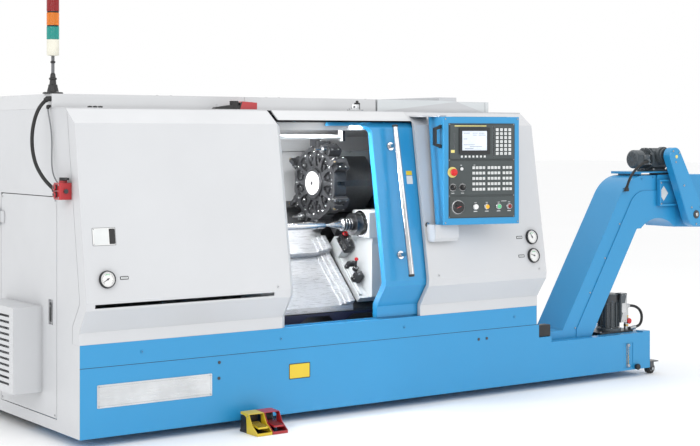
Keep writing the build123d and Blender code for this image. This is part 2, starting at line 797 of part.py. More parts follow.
def make_saddle():
    """The carriage on the two upper rails, with two ways for the cross slide."""
    seat = rail_height - bed_face
    low, high = slide_rail_low - 10, slide_rail_high + rail_width + 20
    body = slope_box(saddle_left, saddle_right, low, high, seat, seat + saddle_thick)
    for s in (slide_rail_low, slide_rail_high):
        body = body + slope_box(saddle_left, saddle_right, s - 10, s - seat_gap, seat - 26, seat + 1)
        body = body + slope_box(saddle_left, saddle_right, s + rail_width + seat_gap, s + rail_width + 10,
                                seat - 26, seat + 1)
    for x in way_places():
        body = body + slope_box(x, x + way_width, low - 80, high, seat + saddle_thick - 1, seat + saddle_thick + 20)
    x = (saddle_left + saddle_right) / 2
    return body + slope_box(x - 20, x + 20, low + 40, low + 120, seat + saddle_thick - 1, seat + saddle_thick + 14)


def way_places():
    """Left edges of the two cross ways on the saddle."""
    return (saddle_left + 60, saddle_right - 60 - way_width)


def make_cross_slide():
    """The turret slide: a plate that straddles the ways, the indexing head and its cover."""
    way_top = rail_height - bed_face + saddle_thick + 20
    left = turret_face + turret_width + 12
    low, high = turret_reach - 214, turret_reach + 200
    plate = slope_box(saddle_left + 20, saddle_right - 20, low, high, way_top + seat_gap, way_top + 56)
    for x in way_places():
        for x0, x1 in ((x - 26, x - seat_gap), (x + way_width + seat_gap, x + way_width + 26)):
            plate = plate + slope_box(x0, x1, low, high, way_top - 18, way_top + 1)
    head = slope_box(left, left + 250, turret_reach - 118, turret_reach + 118, way_top + 55, 118)
    head = chamfer(head.edges().filter_by(Axis.X), 24)
    collar = rod((left - 10, *slope(turret_reach, 0)), (left + 1, *slope(turret_reach, 0)), 96)
    bore = rod((left - 15, *slope(turret_reach, 0)), (left + 150, *slope(turret_reach, 0)), 60 + running_gap)
    y, z = slope(turret_reach, 0)
    outline = [(y + 75, z + 182), (y + 10, z + 74), (y + 5, z + 22), (y + 120, z - 20), (y + 260, z + 100),
               (y + 260, z + 182)]
    shield = prism_x(outline, left + 60, left + 560)
    guards = []
    for x in (left + 330, left + 420):
        guards.append(slope_box(x, x + 70, turret_reach - 170, turret_reach - 20, way_top + 55, way_top + 66))
    motor = rod((left + 249, y, z), (left + 470, y, z), 78)
    return plate + head + collar + shield + guards[0] + guards[1] + motor - bore


def make_turret_disc():
    """The turret disc: twelve flats, pockets between the stations, a raised bright hub."""
    y, z = slope(turret_reach, 0)
    face = turret_face
    corner = turret_radius / cos(pi / station_count)
    plane = Plane(origin=(face, y, z), x_dir=(0, 1, 0), z_dir=(1, 0, 0))
    flats = RegularPolygon(corner, station_count, rotation=180 / station_count)
    disc = extrude(plane * flats, amount=turret_width)
    hub = rod((face - 10, y, z), (face + 1, y, z), turret_hub)
    cap = rod((face - 16, y, z), (face - 9, y, z), turret_hub * 0.56)
    shaft = rod((face + turret_width - 1, y, z), (face + turret_width + 150, y, z), 60)
    disc = disc + hub + cap + shaft
    turn = 360 / station_count
    for index in range(station_count):
        between = Location((0, y, z), (1, 0, 0), (index + 0.5) * turn)
        inner, outer = turret_hub + 14, turret_radius - 16
        pocket = prism_x([(-10, inner), (10, inner), (30, inner + 44), (30, outer - 12), (18, outer), (-18, outer),
                          (-30, outer - 12), (-30, inner + 44)], face - 1, face + 14)
        disc = disc - between * pocket
        station = Location((0, y, z), (1, 0, 0), index * turn)
        notch = box(face + 22, face + turret_width + 1, -11, 11, turret_radius - 14, turret_radius + 12)
        disc = disc - station * notch
    return disc


def make_tool_holders():
    """Tool blocks on the disc's flats: turning tools and boring sleeves by turns."""
    y, z = slope(turret_reach, 0)
    turn = 360 / station_count
    holders = []
    for index in tool_stations:
        place = Location((0, y, z), (1, 0, 0), index * turn)
        seat = turret_radius + seat_gap
        back = turret_face + turret_width + 6
        block = box(turret_face + 4, back, -38, 38, seat, seat + 40)
        block = chamfer(block.edges().filter_by(Axis.X).group_by(Axis.Z)[-1], 9)
        if index % 2 == 0:
            tool = box(turret_face - 20, turret_face + 40, -11, 11, seat + 10, tool_tip - 4)
            tool = tool + box(turret_face - 20, turret_face - 2, -11, 3, tool_tip - 5, tool_tip)
        else:
            height = seat + 22
            tool = rod((turret_face - 26, 0, height), (turret_face + 10, 0, height), 21)
            tool = tool + rod((turret_face - 70, 0, height), (turret_face - 20, 0, height), 9)
        holders.append(place * (block + tool))
    return holders


# Door

def door_path():
    """The front profile from the door's foot up to its head on the upper bevel."""
    (y_head, z_head), (y_top, z_top) = front_path[4], front_path[5]
    end = (y_head + (y_top - y_head) * door_head_share, z_head + (z_top - z_head) * door_head_share)
    return [(0.0, door_foot)] + front_path[1:5] + [end]


def door_silhouette(inset, corner):
    """The door seen from the front, with its guide arm and the rounded corner under it."""
    x0, x1 = door_left + inset, door_left + door_width - inset
    arm_end, arm_low = door_left - door_arm + inset, door_arm_low + inset
    foot, head = skirt_top - 40 + inset, ledge_height
    shape = prism_y([(x0, foot), (x1, foot), (x1, head), (arm_end, head), (arm_end, arm_low), (x0, arm_low)],
                    -200, 260)
    inner = [e for e in shape.edges().filter_by(Axis.Y)
             if abs(e.center().X - x0) < 1 and abs(e.center().Z - arm_low) < 1]
    return fillet(inner, corner)


def make_door_panel():
    """The sliding door: a folded sheet with returns, a guide arm and a framed window."""
    path = door_path()
    x0, x1 = door_left - door_arm - 5, door_left + door_width + 5
    outer = prism_x(ribbon(path, door_recess, door_recess + door_depth), x0, x1) & door_silhouette(0, 46)
    inner = prism_x(ribbon(path, door_recess + sheet, door_recess + door_depth + 20), x0, x1)
    inner = inner & door_silhouette(sheet, 46 + sheet)
    rim_y, rim_z = door_head()
    inner = inner - box(x0, x1, -200, 300, skirt_top - 50, door_foot + sheet)
    inner = inner - box(x0, x1, -200, 300, rim_z - sheet, rim_z + 60)
    shell = outer - inner
    middle = window_plane()
    width, height = window_size()
    depth = door_recess + sheet
    frame = middle * Pos(0, 0, -depth - 7) * Box(width + 44, height + 44, 14.2)
    opening = middle * Box(width, height, 200)
    return shell + frame - opening


def window_plane():
    x = door_left + (window_left + window_right) / 2
    return front_plane(x, (window_foot + window_head) / 2)


def window_size():
    """Width and sloped height of the opening in the door."""
    return window_right - window_left, (window_head - window_foot) / cos(radians(panel_lean))


def make_door_window():
    """The safety glass, seated behind the door's window frame."""
    width, height = window_size()
    depth = door_recess + sheet + 14.1
    return window_plane() * Pos(0, 0, -depth - glass_thickness / 2) * Box(width + 36, height + 36, glass_thickness)


def make_door_handle():
    """The chromed tube handle on two standoffs that leave room for a hand."""
    upper = front_plane(door_handle_x, handle_head, handle_out - door_recess).origin
    lower = front_plane(door_handle_x, handle_foot, handle_out + 22 - door_recess).origin
    handle = rod(tuple(upper), tuple(lower), door_handle_radius)
    for z, reach in ((handle_foot + 118, handle_out + 14), (handle_head - 104, handle_out - 2)):
        plane = front_plane(door_handle_x, z, 0.1 - door_recess)
        handle = handle + plane * Cylinder(11, reach, align=(Align.CENTER, Align.CENTER, Align.MIN))
        handle = handle + plane * Cylinder(22, 7, align=(Align.CENTER, Align.CENTER, Align.MIN))
    return handle


# Control panel

def panel_place():
    """Local frame of the panel: X along its face, Y into its depth, Z up, at the pivot."""
    return Location((pivot_x, -pivot_out, 0), (0, 0, 1), -panel_turn)


def make_panel_bracket():
    """The lower shelf bracket with its pin, and the upper arm with its pin."""
    foot = panel_foot - 8 - seat_gap
    x0, x1 = pivot_x - 66, pivot_x + 100
    reach = -pivot_out - 40
    low = foot - bracket_drop
    outline = [(150, low), (150, foot + 8), (reach, foot + 8), (reach, low + 18), (reach + 14, low)]
    inner = [(160, low + 8), (160, foot), (reach + 8, foot), (reach + 8, low + 22), (reach + 16, low + 8)]
    lower = prism_x(outline, x0, x1) - prism_x(inner, x0 + 8, x1 - 8)
    low_pin = rod((pivot_x, -pivot_out, foot + 7), (pivot_x, -pivot_out, panel_foot + 16), pivot_pin)
    top = panel_foot + panel_height + seat_gap
    arm = prism_z([(pivot_x - 68, 200), (pivot_x + 48, 200), (pivot_x + 48, 60), (pivot_x + 24, -pivot_out - 24),
                   (pivot_x - 24, -pivot_out - 24), (pivot_x - 68, 60)], top, top + 8)
    high_pin = rod((pivot_x, -pivot_out, top - 16), (pivot_x, -pivot_out, top + 1), pivot_pin)
    path = offset_path(front_path, -seat_gap)
    ahead = prism_x([(-400, path[2][1] - 30), (path[2][0], path[2][1] - 30)] + path[2:] + [(-400, path[5][1])],
                    pivot_x - 200, pivot_x + 200)
    return [(lower + low_pin) & ahead, (arm + high_pin) & ahead]


def make_panel_housing():
    """The blue cabinet of the control panel, deeper at the top, with a recessed face."""
    z0, z1 = panel_foot, panel_foot + panel_height
    front = -panel_front
    lean = tan(radians(panel_lean))
    x0, x1 = -panel_left, panel_width - panel_left
    body = prism_x([(front, z0), (front, z1), (panel_back + panel_height * lean, z1), (panel_back, z0)], x0, x1)
    body = chamfer(body.edges().filter_by(Axis.Z), 5)
    body = body - box(x0 + panel_side, x1 - panel_side, front - 1, front + 6, z0 + panel_margin, z1 - panel_margin)
    body = body - rod((0, 0, z0 - 1), (0, 0, z0 + 18), pivot_pin + running_gap)
    body = body - rod((0, 0, z1 - 18), (0, 0, z1 + 1), pivot_pin + running_gap)
    for x, z in control_centres():
        body = body - rod((x, front, z), (x, front + shaft_depth + 6, z), control_shaft + 1)
    return panel_place() * body


def face_x(share):
    """A place across the face plate, as a share of its width."""
    return -panel_left + panel_side + share * (panel_width - 2 * panel_side)


def face_z(share):
    """A place up the face plate, as a share of its height."""
    return panel_foot + panel_margin + share * (panel_height - 2 * panel_margin)


def control_centres():
    """Where the shafts of the moving controls pass through the face plate."""
    places = (stop_place, *knob_places, handwheel_place)
    return [(face_x(x), face_z(z)) for x, z in places]


def make_panel_face():
    """The dark face plate: display unit, key fields, lamp buttons and their sub-plates."""
    front = -panel_front
    x0, x1 = face_x(0.02), face_x(0.98)
    face = box(face_x(0) + 0.5, face_x(1) - 0.5, front + 1, front + 5.9, face_z(0) + 0.5, face_z(1) - 0.5)
    face = face + box(x0, x1, front - 6, front + 2, face_z(0.625), face_z(0.985))
    face = face + box(face_x(0.15), face_x(0.61), front - 12, front - 5, face_z(0.675), face_z(0.955))
    face = face - box(face_x(0.185), face_x(0.575), front - 13, front - 9, face_z(0.705), face_z(0.93))
    face = face + box(x0, x1, front - 3, front + 2, face_z(0.245), face_z(0.605))
    face = face + box(x0, x1, front - 3, front + 2, face_z(0.01), face_z(0.225))
    face = face + keys(face_x(0.345), face_x(0.955), face_z(0.275), face_z(0.56), 11, 5, front - 7, front - 2, (4, 8))
    face = face + keys(face_x(0.69), face_x(0.945), face_z(0.66), face_z(0.955), 4, 7, front - 10, front - 5, ())
    face = face + keys(face_x(0.16), face_x(0.56), face_z(0.635), face_z(0.665), 7, 1, front - 10, front - 5, ())
    face = face + rod((face_x(0.19), front - 9, face_z(0.52)), (face_x(0.19), front - 2, face_z(0.52)), 9)
    for share in button_shares:
        centre = (face_x(share), face_z(0.118))
        face = face + rod((centre[0], front - 14, centre[1]), (centre[0], front - 2, centre[1]), 14)
    for x, z in control_centres():
        face = face - rod((x, front - 30, z), (x, front + 20, z), control_shaft + running_gap)
    return panel_place() * face


def keys(x0, x1, z0, z1, columns, rows, y0, y1, breaks):
    """A field of square key caps; breaks name the columns before which a gap is left."""
    extra = 0.5
    pitch_x = (x1 - x0) / (columns + extra * len(breaks))
    pitch_z = (z1 - z0) / rows
    size = min(pitch_x, pitch_z) * 0.36
    caps = []
    offset = 0.0
    for column in range(columns):
        if column in breaks:
            offset += extra
        x = x0 + (column + 0.5 + offset) * pitch_x
        for row in range(rows):
            z = z0 + (row + 0.5) * pitch_z
            caps.append(box(x - size, x + size, y0, y1, z - size, z + size))
    return caps


def make_panel_grip():
    """The black bow handle on the left side of the panel."""
    x = -panel_left - seat_gap
    z0, z1 = panel_foot + panel_height - 172, panel_foot + panel_height - 44
    y = -panel_front + 34
    out = 42.0
    bow = prism_y([(x, z0), (x - out, z0 + 18), (x - out, z1 - 18), (x, z1)], y - 13, y + 13)
    bow = bow - prism_y([(x + 1, z0 + 18), (x - out + 13, z0 + 27), (x - out + 13, z1 - 27), (x + 1, z1 - 18)],
                        y - 14, y + 14)
    return panel_place() * bow


def control_point(place):
    return (face_x(place[0]), -panel_front, face_z(place[1]))


def shaft_part(place):
    """The short shaft that carries a control through the face plate."""
    x, y, z = control_point(place)
    return rod((x, y - 9.5, z), (x, y + shaft_depth, z), control_shaft)


def make_e_stop():
    """The emergency stop: a mushroom head on its stem."""
    x, y, z = control_point(stop_place)
    head = rod((x, y - 34, z), (x, y - 18, z), 20)
    head = chamfer(head.edges().filter_by(GeomType.CIRCLE).sort_by(Axis.Y)[0], 6)
    return panel_place() * (head + rod((x, y - 19, z), (x, y - 8.5, z), 9) + shaft_part(stop_place))


def make_knob(place):
    """A rotary override knob with a pointer rib."""
    x, y, z = control_point(place)
    knob = rod((x, y - 12, z), (x, y - 3.3, z), 17) + rod((x, y - 24, z), (x, y - 11, z), 12)
    rib = box(x - 3, x + 3, y - 25, y - 11, z - 2, z + 15)
    return panel_place() * (knob + rib + shaft_part(place))


def make_handwheel():
    """The handwheel of the pulse generator, with its crank knob."""
    x, y, z = control_point(handwheel_place)
    wheel = rod((x, y - 12, z), (x, y - 3.3, z), 35) + rod((x, y - 22, z), (x, y - 11, z), 29)
    crank = rod((x - 16, y - 40, z + 12), (x - 16, y - 21, z + 12), 7)
    return panel_place() * (wheel + crank + shaft_part(handwheel_place))


# Chip conveyor

def conveyor_outline(inset):
    """Side view of the conveyor, set in from its upper edge, up to where the head joins."""
    a = radians(conveyor_angle)
    across = conveyor_depth / sin(a)
    shift = inset / sin(a)
    start = conveyor_start + shift
    top = head_top - inset
    fold = conveyor_fold
    top_x = start + (top - fold) / tan(a)
    low_x = conveyor_start + across + (head_low - fold) / tan(a)
    foot_x = conveyor_start + across - (fold - conveyor_foot) / tan(a)
    return (start, fold), (top_x, top), (head_join, top), (head_join, head_low), (low_x, head_low), (foot_x, conveyor_foot)


def corner_edge(shape, corner):
    """The edges along Y that pass through an (X, Z) corner."""
    return [e for e in shape.edges().filter_by(Axis.Y)
            if abs(e.center().X - corner[0]) < 1 and abs(e.center().Z - corner[1]) < 1]


def make_conveyor_housing():
    """The conveyor trunk, bent round its top, with raised side panels and an arched belly."""
    y0, y1 = conveyor_front, conveyor_front + conveyor_width
    start, top, end, low_end, low, foot = conveyor_outline(0)
    tail = conveyor_start - 250
    body = prism_y([foot, (tail, conveyor_foot), (tail, conveyor_fold), start, top, end, low_end, low], y0, y1)
    body = fillet(corner_edge(body, top), conveyor_bend)
    body = fillet(corner_edge(body, low), 30)
    i_start, i_top, i_end, i_low_end, i_low, i_foot = conveyor_outline(panel_inset)
    panel = prism_y([i_foot, i_start, i_top, i_end, i_low_end, i_low], y0 - 5, y1 + 5)
    panel = fillet(corner_edge(panel, i_top), conveyor_bend - panel_inset)
    panel = panel - box(tail, tank_end, y0 - 7, y1 + 7, 0, tank_low + seat_gap)
    body = body + panel
    half = (arch_end - arch_start) / 2
    radius = (half ** 2 + arch_rise ** 2) / (2 * arch_rise)
    x, z = (arch_start + arch_end) / 2, head_low + arch_rise - radius
    body = body - rod((x, y0 - 10, z), (x, y1 + 10, z), radius)
    end_point, before = motor_cable_points[-1], motor_cable_points[-2]
    clip = gland(end_point, before, motor_cable_radius + 4, 20)
    x, y, z = end_point
    return body + clip + box(x - 14, x + 12, y - 6, y0 + 1, z - 26, z - 8)


def make_conveyor_head():
    """The discharge head with its open chute, bearing bracket and motor shelf."""
    y0, y1 = conveyor_front, conveyor_front + conveyor_width
    x0 = head_join + seat_gap
    t = sheet
    nose = head_top - 110
    shell = prism_y([(x0, head_top), (head_end - 150, head_top), (head_end, nose), (head_end, head_low - 15),
                     (x0, head_low)], y0, y1)
    hollow = prism_y([(x0 + t, head_top - t), (head_end - 150, head_top - t), (head_end - t, nose - 2),
                      (head_end - t, head_low - 40), (x0 + t, head_low - 40)], y0 + t, y1 - t)
    shell = shell - hollow
    shelf_z = head_top + shelf_lift
    shelf = box(shelf_left, shelf_right, y0 - 12, y1 + 12, shelf_z, shelf_z + 7)
    shelf = shelf + box(shelf_left, shelf_left + 8, y0 - 12, y1 + 12, shelf_z - 8, shelf_z + 1)
    for x in (shelf_left + 30, shelf_right - 40):
        shelf = shelf + box(x, x + 12, y0 + 20, y1 - 20, head_top + seat_gap, shelf_z + 1)
    plate = box(3978, 4190, y0 - 14, y0 - 5.3, 1042, head_top + 2)
    for z in (1042, 1196):
        plate = plate + box(3978, 4150, y0 - 34, y0 - 13, z, z + 10)
    plate = plate + box(3978, 3990, y0 - 34, y0 - 13, 1042, 1206)
    plate = plate + box(x0, 4190, y0 - 6, y0 + 1, 1042, 1206)
    return shell + plate + shelf + box(4100, 4112, y0 - 14, y0 - 5.3, head_top, shelf_z + 1)


def make_gear_motor():
    """The geared motor on the shelf: fan cowl, ribbed stator, stepped gearbox, output shaft."""
    z = guard_top[1] - 22
    floor_z = head_top + shelf_lift + 7 + seat_gap
    cowl = rod((3846, motor_y, z), (3912, motor_y, z), 58)
    cowl = chamfer(cowl.edges().filter_by(GeomType.CIRCLE).sort_by(Axis.X)[0], 12)
    motor = cowl + rod((3911, motor_y, z), (3960, motor_y, z), 47)
    for index in range(4):
        x = 3917 + index * 11
        motor = motor + rod((x, motor_y, z), (x + 4, motor_y, z), 55)
    motor = motor + rod((3959, motor_y, z), (3976, motor_y, z), 72)
    gear = box(3975, 4096, motor_y - 60, motor_y + 62, z - 68, z + 70)
    motor = motor + chamfer(gear.edges().filter_by(Axis.X), 20)
    motor = motor + box(3966, 4106, motor_y - 72, motor_y + 72, floor_z, floor_z + 12)
    motor = motor + box(3986, 4092, motor_y - 50, motor_y + 50, floor_z + 11, z - 60)
    motor = motor + box(3850, 3908, motor_y - 96, motor_y - 44, z - 34, z + 30)
    x, top = guard_top
    motor = motor + rod((x, guard_back + seat_gap, top), (x, motor_y - 59, top), 22)
    for step, radius in ((24, 62), (44, 54)):
        motor = motor + rod((x, motor_y - 59 - step, top), (x, motor_y - 58, top), radius - 6)
    start, toward = motor_cable_points[0], motor_cable_points[1]
    return motor + gland(start, toward, motor_cable_radius + 4, 22)


def make_chain_guard():
    """The tapered case of the drive chain, from the gearbox down to the head shaft."""
    (x0, z0), (x1, z1) = guard_top, guard_low
    length = sqrt((x1 - x0) ** 2 + (z1 - z0) ** 2)
    flare = asin((guard_low_radius - guard_top_radius) / length)
    heading = -acos((x1 - x0) / length)
    corners = []
    for side in (1, -1):
        angle = heading + side * (pi / 2 + flare)
        corners.append((x0 + guard_top_radius * cos(angle), z0 + guard_top_radius * sin(angle)))
        corners.append((x1 + guard_low_radius * cos(angle), z1 + guard_low_radius * sin(angle)))
    web = prism_y([corners[0], corners[1], corners[3], corners[2]], guard_front, guard_back)
    case = web + rod((x0, guard_front, z0), (x0, guard_back, z0), guard_top_radius)
    case = case + rod((x1, guard_front, z1), (x1, guard_back, z1), guard_low_radius)
    front_edges = case.edges().group_by(Axis.Y)[0]
    case = chamfer(front_edges, 5)
    return case + rod((x1, guard_back - 1, z1), (x1, conveyor_front - seat_gap, z1), 38)


# Coolant pump


def make_coolant_pump():
    """The immersion pump on the tank: flange, finned motor, cap, valve and delivery pipes."""
    z = tank_low + seat_gap
    base = box(pump_x - 150, pump_x + 130, pump_y - 82, pump_y + 100, z, z + 10)
    pump = base + rod((pump_x, pump_y, z + 9), (pump_x, pump_y, z + 26), 76)
    pump = pump + rod((pump_x, pump_y, z + 25), (pump_x, pump_y, z + 190), 58)
    fin = box(pump_x + 50, pump_x + 70, pump_y - 2.5, pump_y + 2.5, z + 34, z + 184)
    spin = Pos(pump_x, pump_y, 0)
    back = Pos(-pump_x, -pump_y, 0)
    for index in range(12):
        pump = pump + spin * Rot(0, 0, index * 30) * back * fin
    pump = pump + rod((pump_x, pump_y, z + 189), (pump_x, pump_y, z + 236), 62)
    pump = pump + box(pump_x + 30, pump_x + 84, pump_y - 76, pump_y - 30, z + 60, z + 240)
    rx, ry = pump_x + 112, pump_y - 40
    pump = pump + rod((rx, ry, z + 9), (rx, ry, z + 150), 14) + rod((rx, ry, z + 56), (rx, ry, z + 80), 22)
    pump = pump + rod((pump_x + 50, ry, z + 120), (rx, ry, z + 120), 16) + rod((rx, ry, z + 149), (rx, ry, z + 166), 19)
    pump = pump + gland(hose_points[0], hose_points[1], hose_radius + 4, 24)
    return pump + gland(hose_points[-1], hose_points[-2], hose_radius + 4, 46)


# Cords: points chosen by hand, the first and last lie in their glands

main_cable_points = [
    (-26.0, 323.0, 1654.0), (-46.0, 324.0, 1636.0), (-66.0, 326.0, 1604.0), (-82.0, 327.0, 1560.0),
    (-94.0, 325.0, 1506.0), (-99.0, 319.0, 1446.0), (-97.0, 309.0, 1392.0), (-91.0, 290.0, 1342.0),
    (-82.0, 262.0, 1303.0), (-71.0, 232.0, 1270.0), (-58.0, 204.0, 1244.0), (-46.0, 182.0, 1226.0),
]
main_cable_radius = 9.0
signal_cable_points = [
    (-14.0, 322.0, 1616.0), (-16.0, 314.0, 1596.0), (-14.0, 302.0, 1560.0), (-11.0, 291.0, 1510.0),
    (-10.0, 284.0, 1450.0), (-14.0, 278.0, 1390.0), (-20.0, 264.0, 1334.0), (-22.0, 242.0, 1294.0),
    (-20.0, 216.0, 1266.0), (-17.0, 192.0, 1251.0), (-15.0, 172.0, 1244.0),
]
signal_cable_radius = 3.5
motor_cable_points = [
    (3866.0, 38.0, 1322.0), (3831.0, 29.0, 1315.0), (3797.0, 25.0, 1303.0), (3765.0, 24.0, 1286.0),
    (3736.0, 26.0, 1263.0), (3715.0, 31.0, 1234.0), (3701.0, 38.0, 1201.0), (3696.0, 47.0, 1166.0),
]
motor_cable_radius = 8.0
hose_points = [
    (3776.0, 110.0, 424.0), (3807.0, 108.0, 422.0), (3837.0, 105.0, 413.0), (3863.0, 102.0, 396.0),
    (3878.0, 99.0, 369.0), (3879.0, 97.0, 339.0), (3867.0, 94.0, 311.0), (3843.0, 92.0, 294.0),
    (3812.0, 92.0, 290.0),
]
hose_radius = 8.5


def corner_radii(points):
    """Bend radii from the route: 0.45 of the shorter run over the tangent of half the turn."""
    radii = []
    for a, b, c in zip(points, points[1:], points[2:]):
        before = Vector(*b) - Vector(*a)
        after = Vector(*c) - Vector(*b)
        turn = radians(before.get_angle(after))
        radii.append(0.45 * min(before.length, after.length) / tan(turn / 2))
    return radii


def make_cord(points, radius, name):
    radii = corner_radii(points)
    path = FilletPolyline(*points, radius=radii)
    first = Vector(*points[1]) - Vector(*points[0])
    section = Plane(origin=points[0], z_dir=first) * Circle(radius)
    tube = sweep(section, path=path)
    expected = pi * radius ** 2 * path.length
    print(name, "length", round(path.length), "radii", [round(r) for r in radii],
          "volume ratio", round(tube.volume / expected, 3))
    return tube


def gland(point, toward, radius, length=26.0):
    """A cable gland: a round nut at a cord's end, on the side away from the cord."""
    away = (Vector(*point) - Vector(*toward)).normalized()
    start = Vector(*point) + away * 0.1
    return rod(tuple(start), tuple(start + away * length), radius)


def make_cable_glands():
    """Glands on the left end wall and on the conveyor, where the fixed cords come out."""
    pieces = []
    for points, radius in ((main_cable_points, main_cable_radius), (signal_cable_points, signal_cable_radius)):
        nut = gland(points[0], points[1], radius + 4, 14)
        x, y, z = nut.center()
        pieces.append(nut + rod((-seat_gap, y, z + 4), (x, y, z + 4), radius + 4))
    return pieces


# Small units

def make_power_box():
    """The red main-switch box on the left end wall, with two sockets and cable entries."""
    y0, y1, z0, z1 = box_front, box_front + box_depth, box_foot, box_foot + box_rise
    body = box(-box_width, -seat_gap, y0, y1, z0, z1)
    body = chamfer(body.edges().filter_by(Axis.Z).sort_by(Axis.X)[0:2], 8)
    for z in (z0 + 24, z0 + 58):
        body = body + rod((-box_width - 8, y0 + 40, z), (1 - box_width, y0 + 40, z), 14)
    body = body + rod((-box_width / 2, y0 - 7, z0 + 40), (-box_width / 2, y0 + 1, z0 + 40), 11)
    x, y, z = lever_place()
    body = body + rod((x, y, z1 - 1), (x, y, z1 + 10), 20)
    body = body + gland(main_cable_points[-1], main_cable_points[-2], main_cable_radius + 4, 38)
    body = body + gland(signal_cable_points[-1], signal_cable_points[-2], signal_cable_radius + 3, 22)
    return body - rod((x, y, z1 - 24), (x, y, z1 + 20), lever_pin + running_gap)


def lever_place():
    """The switch lever's pivot on top of the main-switch box."""
    return (-box_width / 2, box_front + 30.0, box_foot + box_rise + 10)


def make_power_lever():
    """The black rotary lever on top of the main-switch box."""
    x, y, z = lever_place()
    stem = rod((x, y, z - 30), (x, y, z + 2), lever_pin)
    hub = rod((x, y, z + seat_gap), (x, y, z + 15), 18)
    arm = prism_z([(x - 9, y), (x - 7, y - 54), (x + 7, y - 54), (x + 9, y)], z + 3, z + 15)
    return stem + hub + arm


def make_signal_tower():
    """Foot, knuckle, pole, white module and the spacers between the lenses."""
    x, y = tower_x, tower_y
    z = roof_height + seat_gap
    tower = rod((x, y, z), (x, y, z + 8), 50) + rod((x, y, z + 7), (x, y, z + 44), 28)
    tower = tower + rod((x, y, z + 43), (x, y, z + 104), 19) + rod((x, y, z + 103), (x, y, z + 190), 8)
    tower = tower + rod((x, y, z + 186), (x, y, z + 268), lens_radius - 1)
    tower = tower + rod((x, y, z + 267), (x, y, lens_levels()[-1][1] + 5), 14)
    for low, high in lens_levels():
        tower = tower + rod((x, y, high), (x, y, high + 6), lens_radius - 2)
    return tower


def lens_levels():
    """Lower and upper level of each lens, from the green one up."""
    start = roof_height + seat_gap + 268 + seat_gap
    return [(start + i * (lens_height + 6.3), start + i * (lens_height + 6.3) + lens_height) for i in range(3)]


def make_tower_lenses():
    """Green, amber and red lens rings round the core."""
    lenses = []
    for low, high in lens_levels():
        ring = rod((tower_x, tower_y, low), (tower_x, tower_y, high - seat_gap), lens_radius)
        lenses.append(ring - rod((tower_x, tower_y, low - 1), (tower_x, tower_y, high + 1), 14 + seat_gap))
    return lenses


def make_top_cabinet():
    """Grey service box, a lighter one beside it and a low one at the right."""
    z = ledge_height + sheet + seat_gap
    first, second, third = cabinet_ends
    grey = box(high_roof_end + 13, first, ledge_depth, 1080, z, roof_height)
    light = box(first, second, ledge_depth, 900, z, roof_height + 18)
    low = box(second, third, ledge_depth, 760, z, roof_height - 6)
    low = low - box(third - 31, third - 25, ledge_depth - 1, ledge_depth + 2, z, roof_height)
    return grey + light + low


def make_interlock_switch():
    """The door interlock on the roof ledge: a black rail with a dome and a red housing."""
    z = ledge_height + sheet + seat_gap
    rail = prism_y([(846, z), (856, z + 10), (940, z + 22), (1000, z + 22), (1000, z)], 190, 222)
    dome = rod((972, 206, z), (972, 206, z + 44), 23)
    red = prism_y([(999, z), (999, z + 34), (1012, z + 42), (1102, z + 36), (1102, z)], 188, 224)
    return rail + dome + red


def make_pressure_gauges():
    """Three round gauges on the front covers, each with a bezel and a recessed dial."""
    gauges = []
    for x, z in gauge_places:
        plane = front_plane(x, z, seat_gap)
        ring = plane * Cylinder(gauge_radius, 16, align=(Align.CENTER, Align.CENTER, Align.MIN))
        dial = front_plane(x, z, 8) * Cylinder(gauge_radius - 7, 20, align=(Align.CENTER, Align.CENTER, Align.MIN))
        hand = front_plane(x, z, 7.5) * Pos(0, 9, 0) * Box(3, 30, 4, align=(Align.CENTER, Align.CENTER, Align.MIN))
        gauges.append(ring - dial + hand)
    return gauges


# Foot pedals

def pedal_left(index):
    return pedal_x + index * pedal_pitch


def pedal_axis():
    """The treadles' pin, as (Y, Z)."""
    return (pedal_front + 112.0, 42.0)


def make_pedal_base():
    """Two black switch bodies on one base plate, with ears for the treadles."""
    x0, x1 = pedal_left(0), pedal_left(2) - 4
    rear = pedal_front + pedal_depth
    base = box(x0 + 4, x1 - 4, pedal_front + 8, rear, 0, 10)
    for x in (pedal_left(1) - 4 - pedal_sheet, pedal_left(1)):
        base = base - box(x - 1, x + pedal_sheet + 1, pedal_front, pedal_front + 101, -1, 11)
    axis_y, axis_z = pedal_axis()
    for index in range(2):
        left = pedal_left(index)
        ear_span = pedal_pitch - 20
        base = base + prism_x([(rear, 9), (rear, 80), (rear - 40, 90), (axis_y + 14, 72), (axis_y + 14, 9)],
                              left + 8, left + pedal_pitch - 12)
        for x in (left + 9, left + ear_span):
            base = base + box(x, x + 6, axis_y - 10, axis_y + 15, 9, axis_z + 11)
    return base - rod((x0, axis_y, axis_z), (x1, axis_y, axis_z), pedal_pin + running_gap)


def make_pedal_guards():
    """The yellow and the red guard: hood, side cheeks and front lip of each pedal."""
    guards = []
    rear = pedal_front + pedal_depth
    t = pedal_sheet
    for index in range(2):
        left, right = pedal_left(index), pedal_left(index + 1) - 4
        cheek = [(pedal_front, 0), (pedal_front, 14), (pedal_front + 52, 50), (pedal_front + 80, pedal_height - 4),
                 (rear - 14, pedal_height), (rear - 14, pedal_height - 12), (rear - 50, pedal_height - 14),
                 (pedal_front + 104, pedal_height - 22), (pedal_front + 100, 18), (pedal_front + 100, 0)]
        hood = prism_x([(pedal_front + 80, pedal_height - 4 - t), (pedal_front + 80, pedal_height - 4),
                        (rear - 14, pedal_height), (rear - 14, pedal_height - t)], left, right)
        lip = prism_x([(pedal_front, 0), (pedal_front, 14), (pedal_front + t, 14), (pedal_front + t, t),
                       (pedal_front + 7.7, t), (pedal_front + 7.7, 0)], left, right)
        guard = hood + lip
        for x in (left, right - t):
            guard = guard + prism_x(cheek, x, x + t)
        guards.append(guard)
    return guards


